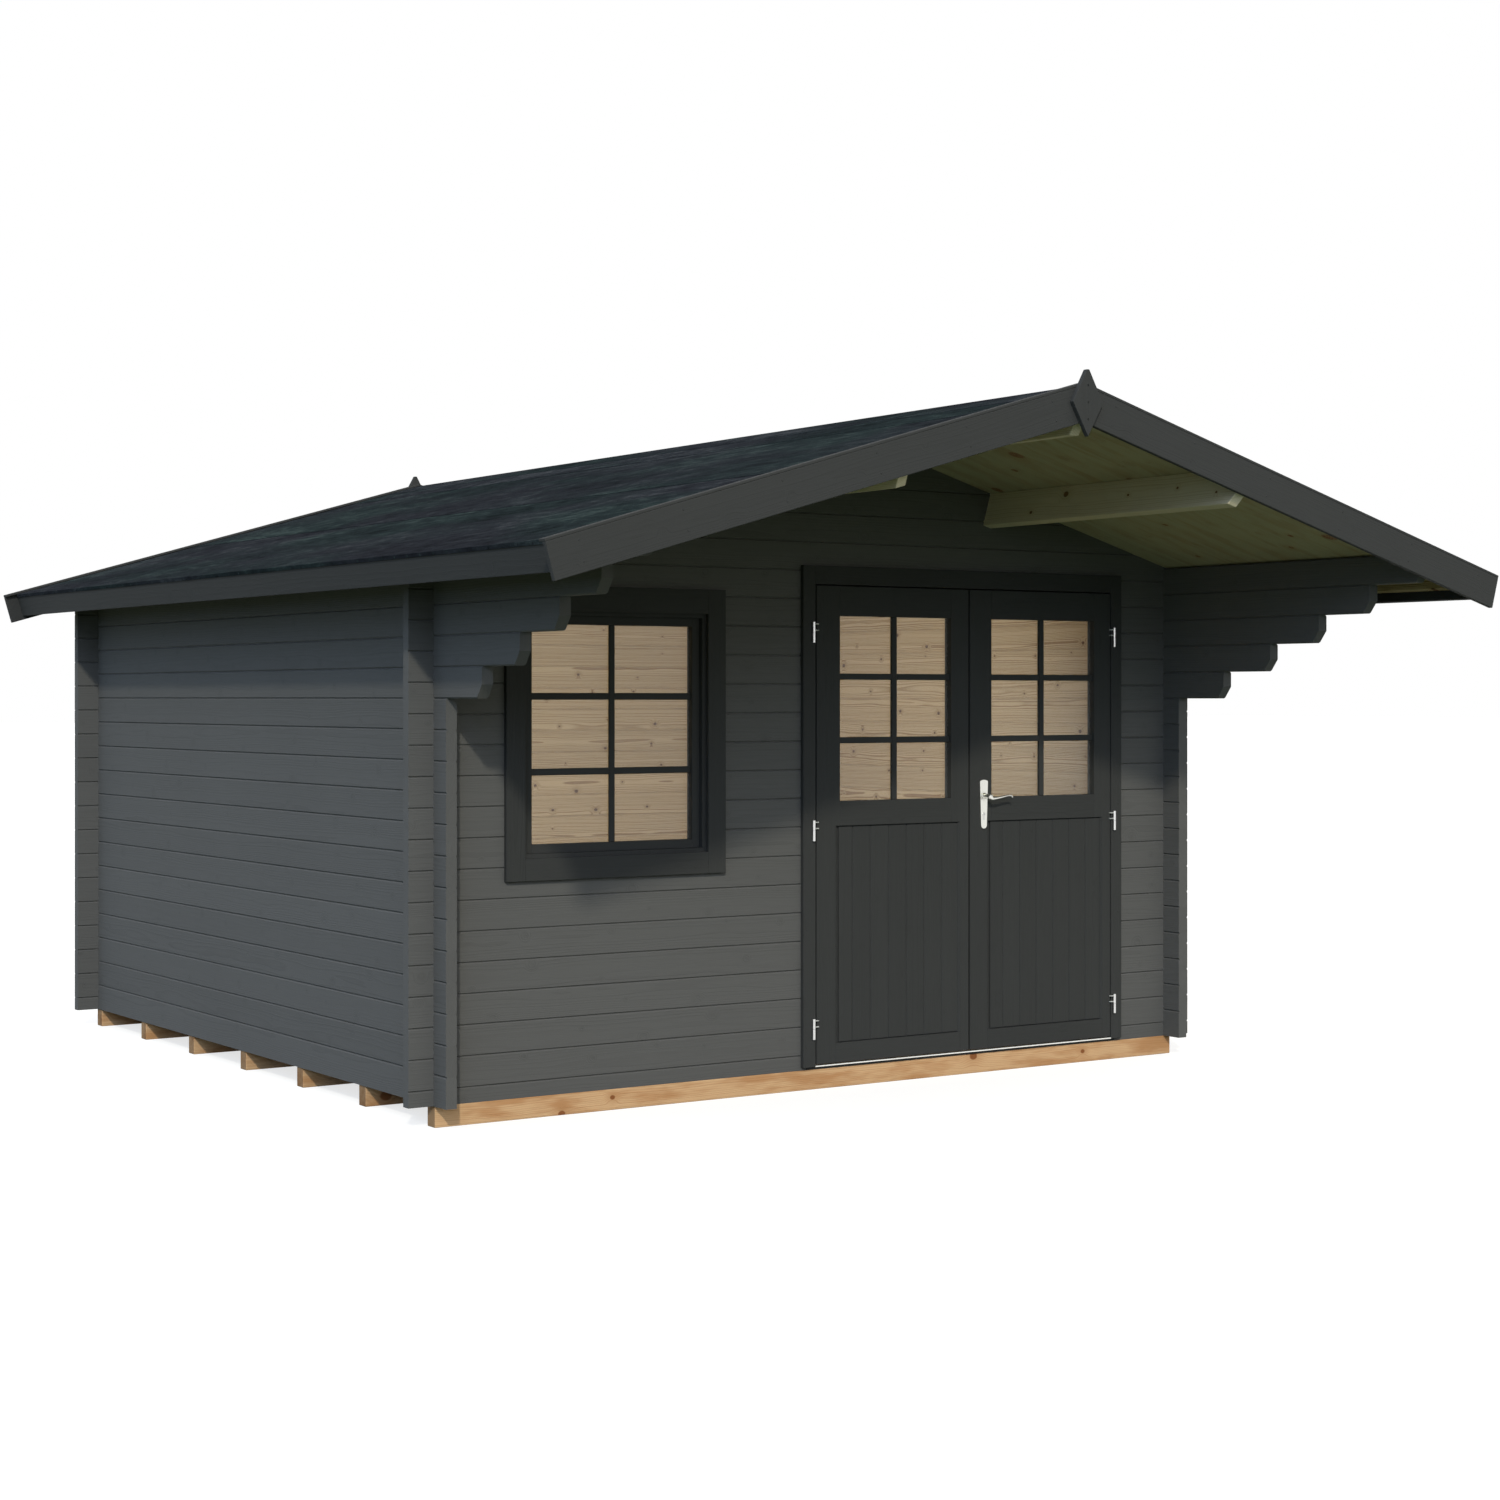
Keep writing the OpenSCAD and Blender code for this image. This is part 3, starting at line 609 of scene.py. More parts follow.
finishes = {
    "left_wall": "sideLogs", "right_wall": "sideLogs",
    "corbels_left": "sideLogs", "corbels_right": "sideLogs",
    "front_wall_left": "crossLogs", "front_wall_right": "crossLogs",
    "front_gable": "crossLogs", "rear_wall": "crossLogs",
    "ridge_purlin": "purlinPine", "purlin_left": "purlinPine", "purlin_right": "purlinPine",
    "roof_felt_left": "felt", "roof_felt_right": "felt",
    "fascia_left": "slopedPaint", "fascia_right": "slopedPaint",
    "bearers": "bearerPine",
    "window_glass": "glass", "door_glass_left": "glass", "door_glass_right": "glass",
    "door_threshold": "threshold", "hinge_posts": "hinge",
    "hinge_knuckles_left": "hinge", "hinge_knuckles_right": "hinge",
    "handle_plate_outer": "handle", "handle_plate_inner": "handle", "door_lever": "handle",
}
for name, node in nodes.items():
    node.data.materials.clear()
    node.data.materials.append(materials[finishes.get(name, "uprightPaint")])


def paintPiece(name, boards, body="root", replaced=(), edge=None):
    makePiece(name, boards, materials["trimPaint"], body, replaced, edge)


# ---- window ----

window = {
    "barWide": 0.026,
    "barProud": 0.006,  # a glazing bar in front of the glass
    "barBack": 0.006,
    "barNarrow": 0.016,  # its strip behind the glass
    "barEdge": 0.0025,
    "rows": 3,
}
sashOuter = sides("window_sash")
sashInner = inset(sashOuter, cabin["sashWide"])


def bars(boards, opening, glass, sizes):
    # one upright bar and level bars between rows of panes, with a narrower strip behind the glass
    x0, x1, z0, z1 = opening
    middle = (x0 + x1) / 2
    step = (z1 - z0 + sizes["barWide"]) / sizes["rows"]
    for low, high, wide in ((glass[0] - sizes["barProud"], glass[0], sizes["barWide"]),
                            (glass[1], glass[1] + sizes["barBack"], sizes["barNarrow"])):
        half = wide / 2
        boards.box((middle - half, low, z0), (middle + half, high, z1))
        for row in range(1, sizes["rows"]):
            z = z0 + row * step - sizes["barWide"] / 2
            boards.box((x0, low, z - half), (middle - half, high, z + half))
            boards.box((middle + half, low, z - half), (x1, high, z + half))


boards = Boards(100)
boards.ring(sashOuter, sashInner, *depth("window_sash"))
paintPiece("windowSashBoards", boards, "root", ["window_sash"], cabin["edge"])
boards = Boards(110)
bars(boards, sashInner, depth("window_glass"), window)
paintPiece("windowGlazingBars", boards, edge=window["barEdge"])
boards = Boards(130)
boards.ring(sides("window_trim_boards"), inset(sashOuter, -cabin["frameShow"]),
            *depth("window_trim_boards"))
paintPiece("windowTrim", boards, "root", ["window_trim_boards"], cabin["edge"])
print("window made")

# ---- door ----

door = {
    "leafClear": 0.006,  # round the leaves
    "barWide": 0.025,
    "barProud": 0.008,
    "barBack": 0.008,
    "barNarrow": 0.018,
    "barEdge": 0.0030,
    "panelBoard": 0.0906,  # T&G boards of the lower panels
    "panelFirst": 0.080,
    "panelGap": 0.0045,  # over and under the boards, where their tongues show
    "firstGap": 0.012,  # and beside the first board
    "chamfer": 0.0080,  # on the stiles beside a panel
    "tongue": 0.006,
    "veeDeep": 0.0042,
    "rows": 3,
}


def makeLeaf(side):
    outline = sides("door_leaf_" + side)
    glass = sides("door_glass_" + side)
    panel = sides("door_panel_" + side)
    front, back = depth("door_leaf_" + side)
    boards = Boards(150 if side == "left" else 170)
    x0, x1, z0, z1 = outline
    cut = door["chamfer"]
    hole = (panel[0] - cut, panel[1] + cut, panel[2], panel[3])
    left = [(x0, z0), (hole[0], z0), (hole[0], hole[3]), (glass[0], hole[3]), (glass[0], z1),
            (x0, z1)]
    right = [(x1, z0), (x1, z1), (glass[1], z1), (glass[1], hole[3]), (hole[1], hole[3]),
             (hole[1], z0)]
    boards.prism(left, "xz", front, back, (0, 0, 1))
    boards.prism(right, "xz", front, back, (0, 0, 1))
    boards.box((glass[0], front, glass[3]), (glass[1], back, z1))
    boards.box((glass[0], front, hole[3]), (glass[1], back, glass[2]))
    boards.box((hole[0], front, z0), (hole[1], back, hole[2]))
    for edge, way in ((panel[0], -1), (panel[1], 1)):
        strip = [(edge + way * cut, front), (edge, front + cut), (edge, back - cut),
                 (edge + way * cut, back)]
        boards.prism(strip, "xy", panel[2], panel[3], (0, 0, 1))
    paintPiece(side + "LeafFrame", boards, side + "_door", ["door_leaf_" + side], cabin["edge"])
    boards = Boards(190 if side == "left" else 210)
    bars(boards, glass, depth("door_glass_" + side), door)
    paintPiece(side + "LeafBars", boards, side + "_door", edge=door["barEdge"])
    makePanel(side, panel, depth("door_panel_" + side))


def makePanel(side, panel, faces):
    # boards with a vee at each joint, front and back, on a thin core that fills the leaf's groove
    boards = Boards(230 if side == "left" else 250)
    gap, vee = door["panelGap"], door["veeDeep"]
    x0, x1, z0, z1 = panel
    front, back = faces
    joints = [x0 + door["firstGap"]]
    place = x0 + door["panelFirst"]
    while place < x1 - door["panelFirst"] / 2:
        joints.append(place)
        place += door["panelBoard"]
    joints.append(x1)
    for a, b in zip(joints, joints[1:]):
        left = vee if a > joints[0] else vee / 8  # the outer edges stay nearly square
        right = vee if b < x1 else vee / 8
        section = [(a + left, front), (b - right, front), (b, front + right), (b, back - right),
                   (b - right, back), (a + left, back), (a, back - left), (a, front + left)]
        boards.prism(section, "xy", z0 + gap, z1 - gap, (0, 0, 1))
    middle = (front + back) / 2
    boards.box((x0, middle - door["tongue"] / 2, z0), (x1, middle + door["tongue"] / 2, z1))
    paintPiece(side + "LeafPanel", boards, side + "_door", ["door_panel_" + side])


makeLeaf("left")
makeLeaf("right")
boards = Boards(270)
clear = door["leafClear"]
frameOpening = (sides("door_leaf_left")[0] - clear, sides("door_leaf_right")[1] + clear,
                sides("door_trim_boards")[2], sides("door_leaf_left")[3] + clear)
boards.ring(sides("door_trim_boards"), frameOpening, *depth("door_trim_boards"), foot=False)
paintPiece("doorTrim", boards, "root", ["door_trim_boards"], cabin["edge"])
print("doors made")

# ---- what Geometry Nodes repeat ----


def newTree(name, inputs):
    tree = bpy.data.node_groups.new(name, "GeometryNodeTree")
    tree.interface.new_socket("Geometry", in_out="INPUT", socket_type="NodeSocketGeometry")
    for label, kind in inputs:
        tree.interface.new_socket(label, in_out="INPUT", socket_type="NodeSocket" + kind)
    tree.interface.new_socket("Geometry", in_out="OUTPUT", socket_type="NodeSocketGeometry")
    net = Net(tree)
    return tree, net, net.add("NodeGroupInput")


def endTree(net, geometry, material):
    real = net.add("GeometryNodeRealizeInstances", None, {"Geometry": geometry})
    painted = net.add("GeometryNodeSetMaterial", None, {"Geometry": real, "Material": material})
    net.add("NodeGroupOutput", None, {"Geometry": painted})


def makeRowTree():
    # like boards side by side, each with a number that gives it grain of its own
    tree, net, start = newTree("boardRow", [
        ("Count", "Int"), ("Step", "Vector"), ("First Board", "Float"), ("Material", "Material")])
    line = net.add("GeometryNodeMeshLine", {"mode": "OFFSET"},
                   {"Count": start.other("Count"), "Offset": start.other("Step")})
    rows = net.add("GeometryNodeInstanceOnPoints", None, {"Points": line, "Instance": start})
    number = net.add("GeometryNodeInputIndex") + start.other("First Board")
    rows = net.add("GeometryNodeStoreNamedAttribute", {"data_type": "FLOAT", "domain": "INSTANCE"},
                   {"Geometry": rows, "Name": "board", "Value": number})
    endTree(net, rows, start.other("Material"))
    return tree


headShape = {
    "corners": 14,
    "top": 0.82,  # share of its radius that its top keeps
    "socket": 0.5,  # and of that, its recess
}


def makeHeadTree():
    # a screw's or nail's head on every point, square to what it holds
    tree, net, start = newTree("fixingHeads", [
        ("Radius", "Float"), ("Height", "Float"), ("Recess", "Float"), ("Material", "Material")])
    radius, height = start.other("Radius"), start.other("Height")
    head = net.add("GeometryNodeMeshCone", {"fill_type": "NGON"}, {
        "Vertices": headShape["corners"], "Radius Top": radius * headShape["top"],
        "Radius Bottom": radius, "Depth": height})
    rim = net.add("GeometryNodeExtrudeMesh", {"mode": "FACES"},
                  {"Mesh": head, "Selection": head.other("Top"), "Offset Scale": 0.0})
    shape = net.add("GeometryNodeScaleElements", {"domain": "FACE"},
                    {"Geometry": rim, "Selection": rim.other("Top"), "Scale": headShape["socket"]})
    recess = height * start.other("Recess")
    socket = net.add("GeometryNodeExtrudeMesh", {"mode": "FACES"}, {
        "Mesh": shape, "Selection": rim.other("Top"), "Offset Scale": recess})
    facing = net.add("GeometryNodeInputNamedAttribute", {"data_type": "FLOAT_VECTOR"},
                     {"Name": "facing"})
    turn = net.add("FunctionNodeAlignRotationToVector", {"axis": "Z"}, {"Vector": facing})
    heads = net.add("GeometryNodeInstanceOnPoints", None,
                    {"Points": start, "Instance": socket, "Rotation": turn})
    endTree(net, heads, start.other("Material"))
    return tree


rowTree = makeRowTree()
headTree = makeHeadTree()


def growPiece(name, mesh, tree, values, body, replaced=()):
    piece = bpy.data.objects.new(name, mesh)
    bpy.context.scene.collection.objects.link(piece)
    grow = piece.modifiers.new("grow", "NODES")
    grow.node_group = tree
    for item in tree.interface.items_tree:
        if item.in_out == "INPUT" and item.name in values:
            grow[item.identifier] = values[item.name]
    graph = bpy.context.evaluated_depsgraph_get()
    plain = bpy.data.meshes.new_from_object(
        piece.evaluated_get(graph), preserve_all_data_layers=True, depsgraph=graph)
    piece.modifiers.clear()
    piece.data = plain
    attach(piece, body)
    if replaced:
        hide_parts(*replaced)
    print(name + ":", len(plain.polygons), "faces")
    return piece


def growRow(name, boards, count, step, firstBoard, material, replaced):
    mesh = bpy.data.meshes.new(name)
    boards.mesh.verts.layers.float.remove(boards.board)  # the tree numbers the boards
    boards.mesh.to_mesh(mesh)
    boards.mesh.free()
    return growPiece(name, mesh, rowTree, {
        "Count": count, "Step": step, "First Board": float(firstBoard),
        "Material": materials[material]}, "root", replaced)


def growHeads(name, spots, head, material, body="root"):
    # spots are pairs of a place and the way that its head faces
    mesh = bpy.data.meshes.new(name)
    mesh.from_pydata([place for place, facing in spots], [], [])
    facing = mesh.attributes.new("facing", "FLOAT_VECTOR", "POINT")
    facing.data.foreach_set("vector", [n for place, way in spots for n in way])
    return growPiece(name, mesh, headTree, {
        "Radius": head[0], "Height": head[1], "Recess": head[2], "Material": materials[material]},
        body)


def spaced(low, high, gap):  # even places from one end to the other, about this far apart
    count = max(1, round((high - low) / gap))
    return [low + (high - low) * i / count for i in range(count + 1)]


# ---- planed timbers of the frame, with their edges taken off ----


def softenNode(name, material, edge, body="root"):
    mesh = nodes[name].data.copy()
    work = bmesh.new()
    work.from_mesh(mesh)
    bmesh.ops.remove_doubles(work, verts=work.verts, dist=0.00002)
    bmesh.ops.dissolve_limit(work, angle_limit=math.radians(0.5), verts=work.verts,
                             edges=work.edges)
    work.to_mesh(mesh)
    work.free()
    mesh.materials.clear()
    mesh.materials.append(materials[material])
    piece = bpy.data.objects.new(name + "Planed", mesh)
    bpy.context.scene.collection.objects.link(piece)
    planeEdges(piece, edge, 25)
    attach(piece, body)
    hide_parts(name)
    return piece


planed = {
    "trimEdge": 0.0018,
    "timberEdge": 0.003,
    "thresholdEdge": 0.001,
    "plateEdge": 0.0016,
    "hingeEdge": 0.0012,
}
for name in ("finial_front", "finial_rear", "door_frame", "window_frame"):
    softenNode(name, "uprightPaint", planed["trimEdge"])
for name in ("fascia_left", "fascia_right"):
    softenNode(name, "slopedPaint", planed["trimEdge"])
for name in ("purlin_left", "purlin_right", "ridge_purlin"):
    softenNode(name, "purlinPine", planed["timberEdge"])
softenNode("bearers", "bearerPine", planed["timberEdge"])
softenNode("door_threshold", "threshold", planed["thresholdEdge"])
print("timbers planed")

# ---- roof ----

roof = {
    "capThick": 0.010,  # capping on the barge boards
    "capLap": 0.020,
    "capEdge": 0.0022,
    "boards": 48,  # roof boards on a side
    "boardGap": 0.0001,
    "veeDeep": 0.0004,  # taken off the boards' lower edges
    "battenWide": 0.028,  # batten behind the fascia
    "battenHigh": 0.047,
    "feltLay": 0.90,  # felt that shows of each strip
    "feltLap": 0.10,
    "feltThick": 0.004,
    "feltThin": 0.0020,
    "feltEdge": 0.0006,
    "lapLift": 0.0003,  # play over the strip below
    "ridgeStrip": 0.19,
    "ridgeHeights": (0.0015, 0.0026, 0.0046),  # its foot, its underside at the ridge, its top
    "drip": 0.012,
}
sinP, cosP, tanP = math.sin(cabin["pitch"]), math.cos(cabin["pitch"]), math.tan(cabin["pitch"])
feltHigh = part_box("roof_felt_right")[1]
feltThick = roof["feltThick"]
deckRidge = feltHigh[2] - feltThick / cosP  # the roof boards' upper face at the ridge
# from the ridge to the fascia's outer face, along the slope
slopeLong = (feltHigh[0] - feltThick * (cosP + sinP)) / cosP


def onSlope(side, along, up):  # a point this far down the slope and this far off the roof boards
    return side * (along * cosP + up * sinP), deckRidge - along * sinP + up * cosP


def makeBarge(node, side, faceOut, seed):
    low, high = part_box(node)
    reach = high[0] - low[0]
    cap = roof["capThick"]
    depthOfBoard = (high[2] - reach * tanP - low[2]) / cosP
    thick = cabin["trimThick"]
    front, back = (low[1], low[1] + thick) if faceOut < 0 else (high[1] - thick, high[1])

    def strip(top, bottom):  # outline between two depths under the barge's top
        corner = high[2] - reach * tanP
        return [(0.0, high[2] - top / cosP), (side * (reach - top * sinP), corner - top * cosP),
                (side * (reach - bottom * sinP), corner - bottom * cosP),
                (0.0, high[2] - bottom / cosP)]

    way = (cosP, 0, -side * sinP)
    boards = Boards(seed)
    boards.prism(strip(cap, depthOfBoard), "xz", front, back, way)
    boards.prism(strip(0.0, cap), "xz", low[1], high[1], way)
    paintPiece(node.replace("_", "") + "Boards", boards, "root", [node], roof["capEdge"])


makeBarge("barge_front_left", -1, -1, 300)
makeBarge("barge_front_right", 1, -1, 303)
makeBarge("barge_rear_left", -1, 1, 306)
makeBarge("barge_rear_right", 1, 1, 309)


def makeRoofBoards(name, side, firstBoard):
    # one board with a vee under each long edge, plumb at the ridge and square at the eaves
    low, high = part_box(name)
    step = (high[1] - low[1]) / roof["boards"]
    wide = step - roof["boardGap"]
    thick = cabin["deckThick"]
    vee = roof["veeDeep"]
    eave = slopeLong - cabin["trimThick"]
    section = [(0.0, vee), (vee, 0.0), (wide - vee, 0.0), (wide, vee), (wide, thick), (0.0, thick)]
    rings = [[], []]
    for across, up in section:
        ridge = (0.0, low[1] + across, deckRidge - (thick - up) / cosP)
        x, z = onSlope(side, eave, up - thick)
        rings[0].append(ridge)
        rings[1].append((x, low[1] + across, z))
    boards = Boards()
    boards.loft(rings, (cosP, 0, -side * sinP))
    growRow("roofBoards" + ("Left" if side < 0 else "Right"), boards, roof["boards"],
            (0.0, step, 0.0), firstBoard, "deckPineWithPaintedShade", [name])


def makeBattens():
    low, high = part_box("roof_boards_left")
    top = -cabin["deckThick"]
    outer = slopeLong - cabin["trimThick"]
    behind = cabin["trimThick"]  # the barge boards close both ends
    boards = Boards(520)
    for side in (-1, 1):
        outline = [onSlope(side, along, up) for along, up in (
            (outer - roof["battenWide"], top), (outer, top), (outer, top - roof["battenHigh"]),
            (outer - roof["battenWide"], top - roof["battenHigh"]))]
        boards.prism(outline, "xz", low[1] + behind, high[1] - behind, (0, 1, 0))
    makePiece("eavesBattens", boards, materials["barePine"], "root",
              edge=cabin["edge"])


makeRoofBoards("roof_boards_left", -1, 400)
makeRoofBoards("roof_boards_right", 1, 460)
makeBattens()


def makeFelt(node, side, seed):
    # strips laid from the eaves up, each over the one below, and folded down the fascia
    low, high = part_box(node)
    boards = Boards(seed)
    thin, lap = roof["feltThin"], roof["feltLap"]
    foot = slopeLong
    while foot > 0.05:
        head = max(foot - roof["feltLay"] - lap, 0.0)
        lowest = foot == slopeLong
        if lowest:
            outline = [(head, 0.0), (foot, 0.0), (foot, -roof["drip"]),
                       (foot + feltThick, -roof["drip"]), (foot + feltThick, feltThick * 0.6),
                       (foot + feltThick * 0.6, feltThick), (head, thin)]
        else:
            outline = [(head, 0.0), (foot, thin + roof["lapLift"]), (foot, feltThick), (head, thin)]
        outline = [onSlope(side, along, up) for along, up in outline]
        if head == 0.0:
            outline[0] = (0.0, deckRidge)
            outline[-1] = (0.0, deckRidge + thin / cosP)
        boards.prism(outline, "xz", low[1], high[1], (0, 1, 0))
        foot -= roof["feltLay"]
    makePiece("feltStrips" + ("Left" if side < 0 else "Right"), boards, materials["felt"], "root",
              [node], roof["feltEdge"])


def makeRidgeStrip():
    low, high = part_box("roof_felt_left")
    reach = roof["ridgeStrip"]
    foot, under, over = roof["ridgeHeights"]
    outline = [onSlope(-1, reach, foot), onSlope(-1, reach, over), (0.0, deckRidge + over / cosP),
               onSlope(1, reach, over), onSlope(1, reach, foot), (0.0, deckRidge + under / cosP)]
    boards = Boards(330)
    end = roof["capLap"]
    boards.prism(outline, "xz", low[1] + end, high[1] - end, (0, 1, 0))
    makePiece("feltRidgeStrip", boards, materials["felt"], "root",
              edge=roof["feltEdge"])


makeFelt("roof_felt_left", -1, 320)
makeFelt("roof_felt_right", 1, 325)
makeRidgeStrip()
print("roof covered")

# ---- floor ----

floor = {
    "boards": 32,
    "gap": 0.0006,
    "veeDeep": 0.0012,
}


def makeFloor():
    low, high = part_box("floor_boards")
    frameLow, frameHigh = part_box("door_frame")
    step = (high[0] - low[0]) / floor["boards"]
    first = int((frameLow[0] - low[0]) / step)
    last = int((frameHigh[0] - low[0]) / step)
    vee, wide = floor["veeDeep"], step - floor["gap"]
    rows = [("Left", 0, first, low[1]), ("Middle", first, last + 1, frameHigh[1]),
            ("Right", last + 1, floor["boards"], low[1])]
    for name, start, end, front in rows:
        x = low[0] + start * step
        section = [(x, low[2]), (x + wide, low[2]), (x + wide, high[2] - vee),
                   (x + wide - vee, high[2]), (x + vee, high[2]), (x, high[2] - vee)]
        boards = Boards()
        boards.prism(section, "xz", front, high[1], (0, 1, 0))
        growRow("floorBoards" + name, boards, end - start, (step, 0.0, 0.0), 600 + start,
                "barePine", ["floor_boards"])


makeFloor()

# ---- screws and nails ----

heads = {  # radius, height and how deep the recess goes
    "screw": (0.0042, 0.0010, -0.6),
    "nail": (0.0050, 0.0007, -0.1),
    "brad": (0.0020, 0.0005, -0.1),
    "plate": (0.0036, 0.0008, -0.5),
}
fixing = {  # where fixings stand and about how far apart they are
    "windowEdge": 0.026,
    "windowFoot": 0.06,
    "head": 0.05,  # under the top of a window's or door's trim
    "ends": 0.14,  # from the ends of its level boards
    "windowUp": 0.42,
    "windowAcross": 0.36,
    "doorEdge": 0.018,
    "doorFoot": 0.08,
    "doorGap": 0.46,
    "bargeRows": (0.034, 0.104),  # under the barge's top edge
    "bargeTop": 0.014,
    "bargeGap": 0.41,
    "bargeStart": 0.16,
    "bargeEnd": 0.06,
    "finialMiddle": 0.121,  # above the finial's foot
    "finialGap": 0.06,
    "nailGap": 0.10,
    "nailEnds": 0.06,
    "nailLow": 0.006,  # under the felt's edge
    "nailIn": 0.02,
    "bearerGap": 0.587,
    "bearerMiddle": 0.03,  # half a bearer's width
    "bradEnd": 0.02,
    "brads": (0.025, 0.085),  # across a floor board
}


def screwTrims():
    spots = []
    front = (0, -1, 0)
    windowX0, windowX1, windowZ0, windowZ1 = sides("window_trim_boards")
    doorX0, doorX1, doorZ0, doorZ1 = sides("door_trim_boards")
    face = depth("window_trim_boards")[0]
    edge, ends = fixing["windowEdge"], fixing["ends"]
    for z in spaced(windowZ0 + fixing["windowFoot"], windowZ1 - fixing["head"], fixing["windowUp"]):
        spots += [((windowX0 + edge, face, z), front), ((windowX1 - edge, face, z), front)]
    for x in spaced(windowX0 + ends, windowX1 - ends, fixing["windowAcross"]):
        spots += [((x, face, windowZ0 + edge), front), ((x, face, windowZ1 - edge), front)]
    inwards = fixing["doorEdge"]
    for z in spaced(doorZ0 + fixing["doorFoot"], doorZ1 - fixing["head"], fixing["doorGap"]):
        spots += [((doorX0 + inwards, face, z), front), ((doorX1 - inwards, face, z), front)]
    for x in spaced(doorX0 + ends, doorX1 - ends, fixing["doorGap"]):
        spots.append(((x, face, doorZ1 - edge), front))
    for node, side in (("front", -1), ("rear", 1)):
        low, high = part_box("barge_" + node + "_right")
        face = low[1] if side < 0 else high[1]
        for along in spaced(fixing["bargeStart"], slopeLong - fixing["bargeEnd"], fixing["bargeGap"]):
            for across in fixing["bargeRows"]:
                for wing in (-1, 1):
                    x, z = onSlope(wing, along, fixing["bargeTop"] - across)
                    spots.append(((x, face, z), (0, side, 0)))
        low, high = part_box("finial_" + node)
        face = (low[1] if side < 0 else high[1]) - side * heads["screw"][1]  # sunk in its face
        middle = low[2] + fixing["finialMiddle"]
        for z in (middle - fixing["finialGap"], middle, middle + fixing["finialGap"]):
            spots.append(((0.0, face, z), (0, side, 0)))
    growHeads("trimScrews", spots, heads["screw"], "trimPaint")


def nailFelt():
    spots = []
    low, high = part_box("roof_felt_left")
    ends = fixing["nailEnds"]
    places = spaced(low[1] + ends, high[1] - ends, fixing["nailGap"])
    lay, strip, inwards = roof["feltLay"], roof["ridgeStrip"], fixing["nailIn"]
    for wing in (-1, 1):
        up = (wing * sinP, 0, cosP)
        out = (wing * cosP, 0, -sinP)
        for y in places:
            x, z = onSlope(wing, slopeLong + feltThick, -fixing["nailLow"])
            spots.append(((x, y, z), out))
        for along in (slopeLong - lay - inwards, slopeLong - 2 * lay - inwards, strip - inwards):
            top = roof["ridgeHeights"][2] if along < strip else feltThick
            for y in places[::3]:
                x, z = onSlope(wing, along, top)
                spots.append(((x, y, z), up))
    growHeads("feltNails", spots, heads["nail"], "felt")


def nailFloor():
    low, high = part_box("floor_boards")
    bearLow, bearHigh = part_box("bearers")
    step = (high[0] - low[0]) / floor["boards"]
    spots = []
    middle = fixing["bearerMiddle"]
    for y in spaced(bearLow[1] + middle, bearHigh[1] - middle, fixing["bearerGap"])[1:]:
        for board in range(floor["boards"]):
            for across in fixing["brads"]:
                depthY = min(y, high[1] - fixing["bradEnd"])
                place = (low[0] + board * step + across, depthY, high[2])
                spots.append((place, (0, 0, 1)))
    growHeads("floorBrads", spots, heads["brad"], "nail")


screwTrims()
nailFelt()
nailFloor()

# ---- handle and hinges ----

lever = {
    "axis": 0.066,  # under the plate's top
    "reach": 0.121,
    "out": 0.045,  # middle of the grip in front of the leaf
    "rose": ((0.0012, 0.0120), (0.0032, 0.0118), (0.0050, 0.0098)),  # heights and radii
    "neck": 0.0085,
    "neckFoot": 0.0080,
    "elbow": ((0.0, -0.0140, 0.0, 1.0, 1.0), (0.0, -0.0070, 0.0, 1.0, 1.0),
              (0.0015, -0.0018, -0.0012, 0.98, 1.12), (0.0065, 0.0, -0.0050, 0.75, 1.18)),
    "depth": 0.0048,  # half the grip's thickness, front to back
    "dip": 0.011,
    "turn": 115.0,
    "curl": 0.012,
    "root": 0.0070,
    "tip": 0.0032,
    "tipRound": 0.0016,
    "sides": 20,
    "steps": 26,
}


def sweep(boards, path):
    # rings of an oval section square to a path; each stop is a point and its half widths
    rings = []
    for i, (point, wide, high) in enumerate(path):
        before = path[max(i - 1, 0)][0]
        after = path[min(i + 1, len(path) - 1)][0]
        way = (Vector(after) - Vector(before)).normalized()
        across = way.cross(Vector((0, 0, 1))).normalized()
        over = across.cross(way)
        ring = []
        for k in range(lever["sides"]):
            turn = 2 * math.pi * k / lever["sides"]
            spot = Vector(point) + across * (math.cos(turn) * wide) + over * (math.sin(turn) * high)
            ring.append(tuple(spot))
        rings.append(ring)
    boards.loft(rings, (1, 0, 0))


def makeLever():
    axisX, axisZ = handleAxis
    boards = Boards(350)
    for plate, out in (("handle_plate_outer", -1), ("handle_plate_inner", 1)):
        low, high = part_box(plate)
        face = low[1] if out < 0 else high[1]
        leaf = high[1] if out < 0 else low[1]
        front = leaf + out * lever["out"]
        neck = lever["neck"]
        path = [((axisX, face + out * rise, axisZ), half, half)
                for rise, half in (*lever["rose"], (lever["neckFoot"], neck))]
        for aside, rise, drop, wide, high in lever["elbow"]:  # past the axis; shares of the neck
            stop = (axisX + aside, front + out * rise, axisZ + drop)
            path.append((stop, neck * wide, neck * high))
        for i in range(3, lever["steps"] + 1):
            t = i / lever["steps"]
            wave = math.cos(math.radians(lever["turn"] * t))
            drop = -lever["dip"] * wave - lever["curl"] * t ** 16
            half = lever["tip"] + (lever["root"] - lever["tip"]) * (1 - t) ** 1.6
            path.append(((axisX + lever["reach"] * t, front, axisZ + drop), lever["depth"], half))
        x, y, z = path[-1][0]
        tip = lever["tipRound"]
        path.append(((x + tip, y, z - tip * 0.75), lever["depth"] * 0.6, lever["tip"] * 0.5))
        sweep(boards, path)
    smooth(makePiece("leverGrips", boards, materials["handle"], "lever",
                     ["door_lever"]))


